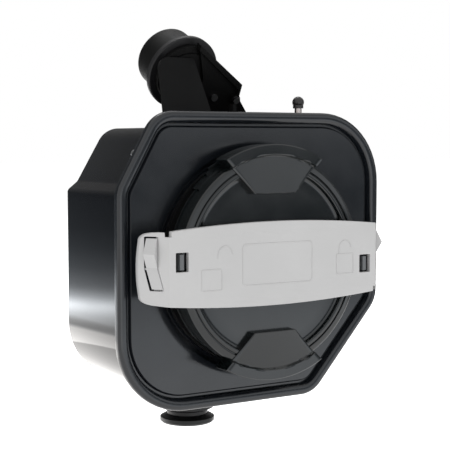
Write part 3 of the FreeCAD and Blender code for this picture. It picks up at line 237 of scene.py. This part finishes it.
def moulded(name, colour, roughness, vary=0.12, grain=0.15, specular=0.5, worn=0.06, metallic=0.0):
    """Moulded surface: patchy colour, uneven gloss, fine grain and faint rubbed spots."""
    mat, tree, shader, coords = material_base(name, metallic)
    patches = noise(tree, coords, 14)
    darker = tuple(c * (1 - vary) for c in colour)
    lighter = tuple(min(1, c * (1 + vary)) for c in colour)
    body = mixed(tree, ramp_between(tree, patches.outputs["Fac"], 0, 1), darker, lighter)
    rubbed = noise(tree, coords, 90, 6)
    spots = ramp_between(tree, rubbed.outputs["Fac"], 0, worn, 0.6, 0.75)
    wear = tree.nodes.new("ShaderNodeMix")
    wear.data_type = "RGBA"
    wear.inputs["B"].default_value = (*(min(1, c * 1.6 + 0.03) for c in colour), 1)
    tree.links.new(spots, wear.inputs["Factor"])
    tree.links.new(body, wear.inputs["A"])
    tree.links.new(wear.outputs["Result"], shader.inputs["Base Color"])
    gloss = noise(tree, coords, 35, 4)
    tree.links.new(ramp_between(tree, gloss.outputs["Fac"], roughness * 0.88, roughness * 1.12),
                   shader.inputs["Roughness"])
    shader.inputs["Specular IOR Level"].default_value = specular
    fine = noise(tree, coords, GRAIN_SCALE, 2)
    bump = tree.nodes.new("ShaderNodeBump")
    bump.inputs["Strength"].default_value = grain
    bump.inputs["Distance"].default_value = GRAIN_DEPTH
    tree.links.new(fine.outputs["Fac"], bump.inputs["Height"])
    tree.links.new(bump.outputs["Normal"], shader.inputs["Normal"])
    return mat


MATERIALS = {
    "shell_black": moulded("shell_black", (0.003, 0.0034, 0.0045), 0.07, grain=0.01),
    "panel_grey": moulded("panel_grey", (0.006, 0.0075, 0.01), 0.2, vary=0.08, specular=0.6),
    "seal_black": moulded("seal_black", (0.012, 0.012, 0.012), 0.7),
    "screw_steel": moulded("screw_steel", (0.42, 0.42, 0.42), 0.32, metallic=1.0, grain=0.05),
    "neck_black": moulded("neck_black", (0.003, 0.003, 0.003), 0.5, specular=0.12),
    "stud_steel": moulded("stud_steel", (0.55, 0.5, 0.48), 0.22, metallic=1.0, grain=0.05),
    "cap_black": moulded("cap_black", (0.02, 0.018, 0.018), 0.3),
    "drain_black": moulded("drain_black", (0.003, 0.0035, 0.0035), 0.4, specular=0.35),
    "deck_steel": moulded("deck_steel", (0.3, 0.31, 0.32), 0.4, metallic=0.6),
    "insert_grey": moulded("insert_grey", (0.25, 0.25, 0.27), 0.5),
    "inlet_black": moulded("inlet_black", (0.01, 0.01, 0.01), 0.4),
    "inlet_grey": moulded("inlet_grey", (0.08, 0.08, 0.085), 0.45),
    "ring_black": moulded("ring_black", (0.004, 0.004, 0.0045), 0.4, specular=0.3),
    "cover_charcoal": moulded("cover_charcoal", (0.003, 0.0045, 0.005), 0.18, vary=0.08, specular=0.6),
    "post_grey": moulded("post_grey", (0.1, 0.105, 0.11), 0.4),
    "bar_grey": moulded("bar_grey", (0.485, 0.483, 0.482), 0.42, vary=0.02, worn=0.03),
    "rocker_grey": moulded("rocker_grey", (0.47, 0.468, 0.468), 0.42, vary=0.02),
    "collar_grey": moulded("collar_grey", (0.008, 0.008, 0.009), 0.5, specular=0.3),
    "pin_brass": moulded("pin_brass", (0.6, 0.42, 0.16), 0.25, metallic=1.0),
    "lead_brown": moulded("lead_brown", (0.08, 0.03, 0.012), 0.4),
    "lead_blue": moulded("lead_blue", (0.012, 0.05, 0.25), 0.4),
    "lead_green": moulded("lead_green", (0.03, 0.2, 0.03), 0.4),
    "lead_black": moulded("lead_black", (0.01, 0.01, 0.01), 0.4),
}


# ---------------------------------------------------------------- front panel

RIM_PROFILE = [  # distance in from the outer edge, distance behind the crest
    (1.0, 7.0), (0.2, 6.4), (0.0, 5.4), (0.0, 3.0), (0.3, 1.6), (1.1, 0.6), (2.3, 0.1), (3.6, 0.0),
    (5.4, 0.15), (7.0, 0.5), (8.0, 1.2), (8.7, 2.4), (9.3, 4.6), (9.7, 6.0), (11.2, 6.0), (11.9, 4.2),
    (12.7, 3.5),
]
PANEL_Y = FRONT + 3.5       # y of the panel's face
MOAT = 89.5                 # radius of the moat round the cover
MOAT_EDGE = MOAT + 6        # radius where the panel's face meets the moat's rings
LEDGE_FRONT = FRONT + 10.0  # y of the ledge on the moat's floor
LEDGE_BACK = LEDGE_FRONT + 3
MOUTH = 76.0                # radius of the ledge's mouth
SLOT = 82.0                 # radius of the mouth where the cover's lugs pass


def mouth_radius(step):
    """Inner radius of the ledge, wider where the cover's lugs pass."""
    angle = 360 * step / RING_STEPS % 90
    return SLOT if 30 <= angle <= 60 else MOUTH


def mouth_ring(y):
    """Points of the mouth's outline, with its slots."""
    points = []
    for step in range(RING_STEPS):
        radius = mouth_radius(step)
        angle = math.tau * step / RING_STEPS
        points.append((radius * math.cos(angle), y, COVER_Z + radius * math.sin(angle)))
    return points


def make_front_panel():
    """Flanged panel with a bead round its edge, a recessed face and a moat round the cover."""
    bm = bmesh.new()
    rings = [outline_ring(PANEL_CORNERS, inset, FRONT + back) for inset, back in RIM_PROFILE]
    rings.append(on_circle(rings[-1], MOAT_EDGE, PANEL_Y))
    back = [on_circle(rings[0], MOAT_EDGE, PANEL_BACK)]
    add_rings(bm, back + rings)
    moat = [
        circle_ring(MOAT_EDGE, PANEL_Y),
        circle_ring(MOAT + 0.9, PANEL_Y),
        circle_ring(MOAT + 0.25, PANEL_Y + 0.25),
        circle_ring(MOAT, PANEL_Y + 0.9),
        circle_ring(MOAT, LEDGE_FRONT),
        mouth_ring(LEDGE_FRONT),
        mouth_ring(LEDGE_BACK),
        circle_ring(MOAT + 3, LEDGE_BACK),
        circle_ring(MOAT + 3, PANEL_BACK),
        circle_ring(MOAT_EDGE, PANEL_BACK),
    ]
    add_rings(bm, moat)
    panel = smooth(new_object("panel_moulding", finish_mesh(bm)), 40)
    return place_on(panel, "box", "panel_grey", MATERIALS["panel_grey"], "front_panel")


# ---------------------------------------------------------------- rear shell

WALL = 3.0
WALL_HOLE = (75, 68, 3.25)          # x and z from the middle, radius
DRAIN_HOLE = (-36, -58, 13.1)       # x, y, radius
STUD_HOLE = (62.5, -77, 3.1)
NECK_HOLE = ((-43, -60), (-23, -42))
SHELL_TOP = 104
CUT_LENGTH = 12


def make_shell():
    """Deep glossy shell with rounded back edges, a lip at the front and its holes."""
    outside = [(18.0, 0.0), (5.0, 0.0), (3.2, -0.35), (1.5, -1.5), (0.35, -3.2), (0.0, -5.0),
               (0.0, LIP_FRONT + 3.4), (-0.3, LIP_FRONT + 3.0)]
    inside = [(WALL, LIP_FRONT), (WALL, -WALL - 3.0), (WALL + 0.9, -WALL - 0.9), (WALL + 3.0, -WALL),
              (18.0, -WALL)]
    bm = bmesh.new()
    rings = [outline_ring(SHELL_CORNERS, inset, y) for inset, y in outside]
    rings.append(outline_ring(SHELL_CORNERS, -0.3, LIP_FRONT))
    rings += [outline_ring(SHELL_CORNERS, inset, y) for inset, y in inside]
    rows = add_rings(bm, rings)
    bm.faces.new(rows[0])
    bm.faces.new(list(reversed(rows[-1])))
    shell = new_object("shell_moulding", finish_mesh(bm))
    wall_x, wall_z, wall_radius = WALL_HOLE
    for x in (-wall_x, wall_x):
        for z in (-wall_z, wall_z):
            carve(shell, (x, -2, z), "Y", wall_radius)
    carve(shell, (*DRAIN_HOLE[:2], -SHELL_TOP), "Z", DRAIN_HOLE[2])
    carve(shell, (*STUD_HOLE[:2], SHELL_TOP), "Z", STUD_HOLE[2])
    carve_box(shell, (*NECK_HOLE[0], SHELL_TOP - 9), (*NECK_HOLE[1], SHELL_TOP + 11))
    smooth(shell, 30)
    return place_on(join(shell, make_lip()), "box", "shell_black", MATERIALS["shell_black"], "rear_shell")


def make_lip():
    """Flange of the shell, behind the panel's edge."""
    back = LIP_FRONT + 3.0
    profile = [(3.4, LIP_FRONT), (3.0, LIP_FRONT + 0.4), (3.0, LIP_FRONT + 2.4), (3.6, back), (13.0, back),
               (13.0, LIP_FRONT)]
    bm = bmesh.new()
    add_rings(bm, [outline_ring(PANEL_CORNERS, inset, y) for inset, y in profile], closed_end=True)
    return smooth(new_object("shell_lip", finish_mesh(bm)), 50)


def join(thing, other):
    """Put another object's mesh into a thing."""
    bm = bmesh.new()
    bm.from_mesh(thing.data)
    bm.from_mesh(other.data)
    bm.to_mesh(thing.data)
    bm.free()
    bpy.data.objects.remove(other)
    return thing


def carve(thing, centre, along, radius):
    """Cut a round hole through a mesh along Y or Z."""
    turn = (math.pi / 2, 0, 0) if along == "Y" else (0, 0, 0)
    bpy.ops.mesh.primitive_cylinder_add(vertices=48, radius=radius * MM, depth=CUT_LENGTH * MM,
                                        location=Vector(centre) * MM, rotation=turn)
    cut_with(thing, bpy.context.active_object)


def carve_box(thing, low, high):
    """Cut a block between two corners out of a mesh."""
    low, high = Vector(low) * MM, Vector(high) * MM
    bpy.ops.mesh.primitive_cube_add(size=1, location=(low + high) / 2)
    cutter = bpy.context.active_object
    cutter.scale = high - low
    cut_with(thing, cutter)


def cut_with(thing, cutter):
    """Take a cutter's shape out of a mesh, then delete the cutter."""
    knife = thing.modifiers.new("cut", "BOOLEAN")
    knife.operation = "DIFFERENCE"
    knife.solver = "EXACT"
    knife.object = cutter
    bpy.context.view_layer.update()
    evaluated = thing.evaluated_get(bpy.context.evaluated_depsgraph_get())
    result = bpy.data.meshes.new_from_object(evaluated)
    thing.modifiers.remove(knife)
    thing.data = result
    bpy.data.objects.remove(cutter)


# ---------------------------------------------------------------- cover

DRUM_RADIUS = 84.5
DRUM_DEPTH = 20.0
DISC_RADIUS = 70.0
DOME_RISE = 1.5
LUGS = 4
EAR_HALF = 15.3


def make_drum():
    """Cover: raised ring, slightly domed disc, side wall, neck, skirt, lugs, ears and detents."""
    top = FRONT - 24.0
    disc = FRONT - 20.5
    side = top + DRUM_DEPTH
    neck = FRONT + 3.2
    skirt = FRONT + 21.0
    dome = [(r, disc - DOME_RISE * (1 - (r / DISC_RADIUS) ** 2)) for r in (0.01, 20.0, 35.0, 50.0, 62.0)]
    ring = [(DISC_RADIUS, disc), (72.4, disc - 0.1), (73.3, disc - 0.6), (74.2, top + 0.5), (74.6, top + 0.1),
            (75.2, top), (77.4, top + 0.1), (77.9, top + 0.5), (78.1, top + 1.3), (78.7, top + 1.3),
            (78.9, top + 0.5), (79.3, top + 0.05), (82.9, top + 0.5), (83.9, top + 0.9)]
    outside = [(DRUM_RADIUS, top + 1.8), (DRUM_RADIUS, side - 1.4), (84.1, side - 0.4), (83.2, side)]
    under = [(80.0, side), (80.0, neck), (74.0, neck), (74.0, skirt), (70.5, skirt), (70.5, disc + 3.0),
             (0.01, disc + 3.0)]
    bm = bmesh.new()
    add_rings(bm, [circle_ring(radius, y) for radius, y in dome + ring + outside + under])
    for number in range(LUGS):
        middle = math.radians(45 + 360 / LUGS * number)
        add_sector(bm, 73.0, 79.5, FRONT + 15.0, FRONT + 19.0, middle - math.radians(12), math.radians(24))
    for start in (117.0, 297.0):
        for step in (1, 2, 3):
            add_sector(bm, DRUM_RADIUS - 1.0, DRUM_RADIUS + 1.5 * step, side - 9.0 / step, side,
                       math.radians(start), math.radians(20.0 / step))
    for end in (-1, 1):
        add_block(bm, (82.5 * end, top + 1.0, COVER_Z - EAR_HALF),
                  (93.5 * end, top + 13.0, COVER_Z + EAR_HALF))
    drum = smooth(new_object("cover_moulding", finish_mesh(bm)), 38)
    return place_on(drum, "cover", "cover_charcoal", MATERIALS["cover_charcoal"], "cover_drum")


def add_sector(bm, inner, outer, front, back, start, sweep):
    """Block that fills part of a turn round the cover's axis."""
    steps = 12
    rings = []
    for step in range(steps + 1):
        angle = start + sweep * step / steps
        rings.append([(radius * math.cos(angle), y, COVER_Z + radius * math.sin(angle))
                      for radius, y in ((inner, front), (outer, front), (outer, back), (inner, back))])
    rows = add_rings(bm, rings)
    bm.faces.new(rows[0])
    bm.faces.new(list(reversed(rows[-1])))


def add_block(bm, low, high):
    """Block between two corners."""
    xs, ys, zs = zip(low, high)
    plan = [(xs[0], ys[0]), (xs[1], ys[0]), (xs[1], ys[1]), (xs[0], ys[1])]
    rows = add_rings(bm, [[(x, y, z) for x, y in plan] for z in zs])
    bm.faces.new(rows[0])
    bm.faces.new(list(reversed(rows[-1])))


# ---------------------------------------------------------------- finger grips

GRIP_OUTER = 93.0
GRIP_LIP = 85.0
GRIP_HALF_ANGLE = math.radians(29.4)
GRIP_KINK = 0.42            # how far out the sides turn
GRIP_HOLLOW = 2.5
GRIP_FACE = FRONT - 27.0


def grip_point(u, v):
    """Point of a grip's front outline: u runs across it, v from its inner edge to its outer arc."""
    inner_x, inner_z = 19.5 * u, 54.5
    kink_x, kink_z = 30.5 * u, 66.0 + 3.0 * (1 - u * u)
    angle = GRIP_HALF_ANGLE * u
    outer_x, outer_z = GRIP_OUTER * math.sin(angle), GRIP_OUTER * math.cos(angle)
    if v < GRIP_KINK:
        part = v / GRIP_KINK
        return inner_x + (kink_x - inner_x) * part, inner_z + (kink_z - inner_z) * part
    part = (v - GRIP_KINK) / (1 - GRIP_KINK)
    return kink_x + (outer_x - kink_x) * part, kink_z + (outer_z - kink_z) * part


def grip_depth(radius):
    """How far a grip's face lies behind its lip: a hollow that rises again to the inner edge."""
    if radius > GRIP_LIP:
        return 0.0
    wall = min(1.0, (GRIP_LIP - radius) / 1.2)
    climb = max(0.0, 1 - (GRIP_LIP - radius) / 30.0)
    return wall * GRIP_HOLLOW * climb


def border(rows):
    """Outer loop of a grid."""
    return rows[0] + [row[-1] for row in rows[1:]] + rows[-1][-2::-1] + [row[0] for row in rows[-2:0:-1]]


def make_grip(name, side):
    """Flared finger grip with a lip along its outer arc and a hollow face."""
    across, down = 48, 60
    bm = bmesh.new()
    front, back = [], []
    for j in range(down + 1):
        v = j / down
        front_row, back_row = [], []
        for i in range(across + 1):
            x, z = grip_point(2 * i / across - 1, v)
            radius = math.hypot(x, z)
            edge = 0.5 if i in (0, across) or j in (0, down) else 0.0
            y = GRIP_FACE + grip_depth(radius) + edge
            base = FRONT - 10.0 if radius > 84.6 else FRONT - 18.5
            front_row.append(bm.verts.new(Vector((x * side, y, COVER_Z + z * side)) * MM))
            back_row.append(bm.verts.new(Vector((x * side, base, COVER_Z + z * side)) * MM))
        front.append(front_row)
        back.append(back_row)
    for rows in (front, back):
        for j in range(down):
            for i in range(across):
                bm.faces.new((rows[j][i], rows[j][i + 1], rows[j + 1][i + 1], rows[j + 1][i]))
    rim_front, rim_back = border(front), border(back)
    for step in range(len(rim_front)):
        after = (step + 1) % len(rim_front)
        bm.faces.new((rim_front[step], rim_front[after], rim_back[after], rim_back[step]))
    grip = smooth(new_object(name + "_moulding", finish_mesh(bm)), 32)
    return place_on(grip, "cover", "cover_charcoal", MATERIALS["cover_charcoal"], name)


# ---------------------------------------------------------------- locking bar

BAR_FRONT = FRONT - 30.0
BAR_THICK = 4.6
BAR_HALF = 113.5
BAR_FLAT = 98.0
BAR_DROP = 20.0
BAR_ROUND = 0.55
FOLD = 0.7                  # half the width of the rounded fold at each end
WINDOW_X, WINDOW_Z = 86.8, -4.9
WINDOW_HALF_X, WINDOW_HALF_Z = 5.5, 7.3
ROCKER_GAP = 1.35
LINE_RADIUS = 0.36
SLOPE = math.hypot(BAR_HALF - BAR_FLAT, BAR_DROP)


def slope_x(distance, side):
    """X of a point on a bar end, given its distance along the slope from the outer end."""
    return side * (BAR_HALF - distance * (BAR_HALF - BAR_FLAT) / SLOPE)


def arc_through(start, middle, end, steps):
    """Points of the circular arc through three points."""
    (ax, ay), (bx, by), (cx, cy) = start, middle, end
    a, b, c = ax * ax + ay * ay, bx * bx + by * by, cx * cx + cy * cy
    scale = 2 * (ax * (by - cy) + bx * (cy - ay) + cx * (ay - by))
    centre = Vector(((a * (by - cy) + b * (cy - ay) + c * (ay - by)) / scale,
                     (a * (cx - bx) + b * (ax - cx) + c * (bx - ax)) / scale))
    first, half_way, last = (Vector(spot) - centre for spot in (start, middle, end))
    sweep = first.angle_signed(half_way) + half_way.angle_signed(last)
    turns = [-sweep * step / steps for step in range(steps + 1)]
    return [tuple(centre + Matrix.Rotation(turn, 2) @ first) for turn in turns]


def bar_outline():
    """Outline of the bar's face: long arcs above and below, bowed ends, and a notch at two corners."""
    end, rise, mid, rounding = 112.4, 26.5, 33.0, 6.0
    top = arc_through((-end + rounding, rise + 0.75), (0, mid), (end - rounding, rise + 0.75), 64)
    notch = [(-100.2, 27.6), (-100.0, 24.2), (-96.0, 24.2), (-95.8, 28.3)]
    top = [p for p in top if p[0] < -100.5] + notch + [p for p in top if p[0] > -95.5]
    corner = [(end - rounding + rounding * math.sin(a), rise - rounding + 0.6 + rounding * math.cos(a))
              for a in (math.radians(10 * k) for k in range(1, 9))]
    side = arc_through((end, rise - rounding), (BAR_HALF, 0), (end, -rise + rounding), 12)
    low_corner = [(x, -z) for x, z in reversed(corner)]
    bottom = [(-x, -z) for x, z in top]
    left_low = [(-x, -z) for x, z in corner]
    left_side = [(-x, -z) for x, z in side]
    left_top = [(-x, z) for x, z in reversed(corner)]
    return top + corner + side + low_corner + bottom + left_low + left_side + left_top


def rocker_slot(side):
    """Outline of the slot for a kinked rocker, as x and z."""
    near, far, lean = 6.5 - ROCKER_GAP, 15.5 + ROCKER_GAP, 4.5
    top, foot = 23 + ROCKER_GAP, -15 - ROCKER_GAP
    points = [(near, top), (far, top), (far, 0), (far + lean, foot), (near + lean, foot), (near, 0)]
    return [(slope_x(d, side), z) for d, z in points]


def rounded_polygon(points, radius):
    """Corners of a polygon replaced by short arcs."""
    if sum(a[0] * b[1] - b[0] * a[1] for a, b in zip(points, points[1:] + points[:1])) > 0:
        points = list(reversed(points))
    return [tuple(p) for p in rounded_outline([(x, z, radius) for x, z in points], 4, 1)]


def flat_plate(name, loops):
    """Plate as thick as the bar, from closed loops of (x, z): front face at y = 0, holes, rounded edges."""
    curve = bpy.data.curves.new(name, "CURVE")
    curve.dimensions = "2D"
    curve.fill_mode = "BOTH"
    curve.extrude = (BAR_THICK / 2 - BAR_ROUND) * MM
    curve.bevel_depth = BAR_ROUND * MM
    curve.bevel_resolution = 2
    curve.offset = -BAR_ROUND * MM
    for loop in loops:
        spline = curve.splines.new("POLY")
        spline.points.add(len(loop) - 1)
        for point, (x, z) in zip(spline.points, loop):
            point.co = (x * MM, z * MM, 0, 1)
        spline.use_cyclic_u = True
    maker = bpy.data.objects.new(name + "_maker", curve)
    bpy.context.scene.collection.objects.link(maker)
    bpy.context.view_layer.update()
    mesh = bpy.data.meshes.new_from_object(maker.evaluated_get(bpy.context.evaluated_depsgraph_get()))
    bpy.data.objects.remove(maker)
    mesh.name = name
    mesh.transform(Matrix.Translation((0, BAR_THICK / 2 * MM, 0)) @ Matrix.Rotation(math.pi / 2, 4, "X"))
    thing = bpy.data.objects.new(name, mesh)
    bpy.context.scene.collection.objects.link(thing)
    return thing


def bend_ends(thing):
    """Slope the bar's two ends back towards the panel."""
    bm = bmesh.new()
    bm.from_mesh(thing.data)
    for side in (-1, 1):
        for offset in (0.0, -FOLD, FOLD):
            geometry = bm.verts[:] + bm.edges[:] + bm.faces[:]
            bmesh.ops.bisect_plane(bm, geom=geometry, plane_co=(side * (BAR_FLAT + offset) * MM, 0, 0),
                                   plane_no=(side, 0, 0))
    steepness = BAR_DROP / (BAR_HALF - BAR_FLAT)
    for vert in bm.verts:
        beyond = abs(vert.co.x) / MM - BAR_FLAT
        if beyond > -FOLD:
            eased = beyond if beyond > FOLD else (beyond + FOLD) ** 2 / (4 * FOLD)
            vert.co.y += eased * steepness * MM
    bm.to_mesh(thing.data)
    bm.free()


def make_bar():
    """Locking bar with its two windows and rocker slots."""
    loops = [bar_outline()]
    for side in (-1, 1):
        loops.append(rectangle(WINDOW_X * side, WINDOW_Z * side, WINDOW_HALF_X, WINDOW_HALF_Z, 0.7))
        loops.append(rounded_polygon(rocker_slot(side), 0.8))
    bar = flat_plate("bar_moulding", loops)
    bend_ends(bar)
    bar.data.transform(Matrix.Translation((0, BAR_FRONT * MM, COVER_Z * MM)))
    smooth(bar, 30)
    return place_on(bar, "cover", "bar_grey", MATERIALS["bar_grey"], "lock_bar")


def raised_line(name, loops):
    """Thin raised lines on the bar's face."""
    curve = bpy.data.curves.new(name, "CURVE")
    curve.dimensions = "3D"
    curve.bevel_depth = LINE_RADIUS * MM
    curve.bevel_resolution = 2
    for loop, closed in loops:
        spline = curve.splines.new("POLY")
        spline.points.add(len(loop) - 1)
        for point, (x, z) in zip(spline.points, loop):
            point.co = (x * MM, BAR_FRONT * MM, (COVER_Z + z) * MM, 1)
        spline.use_cyclic_u = closed
    maker = bpy.data.objects.new(name + "_maker", curve)
    bpy.context.scene.collection.objects.link(maker)
    bpy.context.view_layer.update()
    mesh = bpy.data.meshes.new_from_object(maker.evaluated_get(bpy.context.evaluated_depsgraph_get()))
    bpy.data.objects.remove(maker)
    line = bpy.data.objects.new(name, mesh)
    bpy.context.scene.collection.objects.link(line)
    smooth(line, 60)
    return place_on(line, "cover", "bar_grey", MATERIALS["bar_grey"])


def rectangle(x, z, half_x, half_z, radius):
    """Rounded rectangle round a centre."""
    left, right, low, high = x - half_x, x + half_x, z - half_z, z + half_z
    return rounded_polygon([(left, high), (right, high), (right, low), (left, low)], radius)


def shackle(x, z, half, rise):
    """Upside-down U of a padlock."""
    angles = [math.pi * k / 12 for k in range(13)]
    return [(x - half, z)] + [(x - half * math.cos(a), z + rise + half * math.sin(a)) for a in angles]


def make_bar_marks():
    """Raised frame in the middle, an open padlock at the left and a closed one at the right."""
    raised_line("bar_frame", [(rectangle(0, 0, 33, 16, 3), True)])
    open_lock = [(rectangle(-61, -10, 9, 8, 1), True), (shackle(-49, 6, 6.5, 3), False)]
    raised_line("bar_open_lock", open_lock)
    closed_lock = [(rectangle(66, -4, 8.5, 8, 1), True), (shackle(66, 4, 6, 5), False)]
    raised_line("bar_closed_lock", closed_lock)


def dress_cad_nodes():
    """Materials and softened edges for the nodes that keep their CAD mesh."""
    slots = {entry["node"]: entry["material_slot"] for entry in frame["record"]["subparts"]}
    for name, thing in NODES.items():
        material = MATERIALS.get(slots.get(name, ""), MATERIALS["insert_grey"])
        thing.data.materials.clear()
        thing.data.materials.append(material)
    for name in ("neck_body", "neck_cover", "neck_brace", "neck_hub", "hub_sleeve", "coupling_ring",
                 "drain_body", "drain_cap", "left_rocker", "right_rocker", "slip_ring", "earth_cap",
                 "earth_nuts"):
        soften(NODES[name])


# ---------------------------------------------------------------- studio

CARD_PEAK = 10.0            # brightness that a card's ramp calls 1
CARD_HEIGHT = 1.8
CARD_MIDDLE = 0.4           # height of a front card's middle


def area_light(name, spot, target, size, watts):
    """Square light outside the picture."""
    light = bpy.data.lights.new(name, "AREA")
    light.shape = "RECTANGLE"
    light.size = size
    light.size_y = size
    light.energy = watts
    thing = bpy.data.objects.new(name, light)
    thing.location = spot
    thing.rotation_euler = (Vector(target) - Vector(spot)).to_track_quat("-Z", "Y").to_euler()
    thing.visible_camera = False
    bpy.context.scene.collection.objects.link(thing)


def card(name, centre, facing, width, height, stops):
    """Card outside the picture that shows in reflections; stops are (height fraction, brightness, warmth)."""
    bpy.ops.mesh.primitive_plane_add(size=1, location=centre)
    thing = bpy.context.active_object
    thing.name = name
    thing.scale = (width, height, 1)
    thing.rotation_euler = (Vector(facing) - Vector(centre)).to_track_quat("Z", "Y").to_euler()
    mat = bpy.data.materials.new(name)
    mat.use_nodes = True
    tree = mat.node_tree
    tree.nodes.remove(tree.nodes["Principled BSDF"])
    coords = tree.nodes.new("ShaderNodeTexCoord")
    parts = tree.nodes.new("ShaderNodeSeparateXYZ")
    ramp = tree.nodes.new("ShaderNodeValToRGB")
    glow = tree.nodes.new("ShaderNodeEmission")
    glow.inputs["Strength"].default_value = CARD_PEAK
    tree.links.new(coords.outputs["Generated"], parts.inputs["Vector"])
    tree.links.new(parts.outputs["Y"], ramp.inputs["Fac"])
    tree.links.new(ramp.outputs["Color"], glow.inputs["Color"])
    tree.links.new(glow.outputs["Emission"], tree.nodes["Material Output"].inputs["Surface"])
    while len(ramp.color_ramp.elements) < len(stops):
        ramp.color_ramp.elements.new(0.5)
    for element, (position, brightness, warmth) in zip(ramp.color_ramp.elements, stops):
        level = brightness / CARD_PEAK
        element.position = position
        element.color = (level * (1 + warmth), level, level * (1 - warmth), 1)
    thing.data.materials.append(mat)
    thing.visible_camera = False
    thing.visible_diffuse = False
    thing.visible_shadow = False


def front_card(name, azimuth, distance, width, stops):
    """Card that faces the front panel, at an azimuth from straight ahead (positive to the right)."""
    angle = math.radians(azimuth)
    panel = (0, -0.11, CARD_MIDDLE)
    spot = (distance * math.sin(angle), panel[1] - distance * math.cos(angle), CARD_MIDDLE)
    card(name, spot, panel, width, CARD_HEIGHT, stops)


def make_floor():
    """White floor far below the box, slightly bright of itself."""
    bpy.ops.mesh.primitive_plane_add(size=60, location=(0, 0, -0.5))
    floor = bpy.context.active_object
    floor.name = "floor"
    floor_white = moulded("floor_white", (0.95, 0.95, 0.95), 0.9, vary=0.01, worn=0.0, specular=0.0)
    shader = floor_white.node_tree.nodes["Principled BSDF"]
    shader.inputs["Emission Color"].default_value = (1, 1, 1, 1)
    shader.inputs["Emission Strength"].default_value = 0.12
    floor.data.materials.append(floor_white)


def make_side_cards():
    """Cards that the glossy shell reflects: its side, its low corner and its back."""
    side_stops = [(0.0, 4.0, 0.02), (0.122, 3.2, 0.02), (0.136, 1.9, 0.0), (0.147, 1.3, 0.0),
                  (0.158, 1.7, 0.0), (0.171, 3.5, -0.03), (0.179, 6.2, -0.04), (0.187, 2.4, -0.05),
                  (0.196, 0.8, -0.06), (0.214, 0.35, -0.08), (0.232, 0.18, -0.1), (0.25, 0.11, -0.1),
                  (0.289, 0.07, -0.1), (0.444, 0.12, -0.03), (1.0, 0.16, 0.0)]
    low_stops = [(0.0, 2.0, 0.02), (1.0, 2.0, 0.02)]
    back_stops = [(0.0, 0.1, 0.0), (1.0, 0.15, 0.0)]
    card("side_card", (-0.65, 0.80, 0.4), (-0.118, -0.05, 0.4), 1.3, CARD_HEIGHT, side_stops)
    card("low_card", (-0.35, 0.65, -0.46), (-0.35, 0.65, 1.0), 1.2, 1.1, low_stops)
    card("back_card", (0.75, 1.35, 0.95), (0.0, 0.0, 0.95), 3.4, CARD_HEIGHT, back_stops)


def make_front_cards():
    """Cards that the panel and the cover reflect."""
    front_stops = [(0.0, 1.9, -0.02), (0.06, 1.8, -0.05), (0.133, 1.4, -0.06), (0.18, 0.7, -0.08),
                   (0.22, 0.12, -0.12), (0.325, 0.12, -0.12), (0.36, 1.3, -0.04), (0.45, 1.2, -0.04),
                   (1.0, 0.5, 0.0)]
    front_card("front_card", 39, 1.6, 1.36, front_stops)
    front_card("light_card", -2, 1.9, 1.15, [(0.0, 2.2, -0.02), (0.3, 1.3, -0.04), (1.0, 0.6, -0.04)])
    front_card("right_card", 82, 1.6, 1.1, [(0.0, 0.3, 0.0), (1.0, 0.1, 0.0)])


def make_studio():
    """White surroundings, floor, cards and one light behind the box."""
    make_floor()
    world = bpy.data.worlds.new("studio")
    world.use_nodes = True
    world.node_tree.nodes["Background"].inputs["Color"].default_value = (1, 1, 1, 1)
    world.node_tree.nodes["Background"].inputs["Strength"].default_value = 1.0
    bpy.context.scene.world = world
    make_side_cards()
    make_front_cards()
    area_light("backdrop_wash", (2.0, 3.5, 2.5), (2.0, 3.5, -0.5), 4.0, 250)
    bpy.context.scene.view_settings.view_transform = "Standard"


def make_camera():
    """Long lens, a little to the left of the box and looking at its middle."""
    lens = bpy.data.cameras.new("camera")
    lens.lens = 96.0
    lens.sensor_width = 36.0
    camera = bpy.data.objects.new("camera", lens)
    spot, target = Vector((-0.5357, -0.9072, 0.0931)), Vector((-0.0304, -0.108, 0.0277))
    camera.location = spot
    camera.rotation_euler = (target - spot).to_track_quat("-Z", "Y").to_euler()
    bpy.context.scene.collection.objects.link(camera)
    bpy.context.scene.camera = camera


dress_cad_nodes()
make_front_panel()
make_shell()
make_drum()
make_grip("top_grip", 1)
make_grip("bottom_grip", -1)
make_bar()
make_bar_marks()
make_studio()
make_camera()
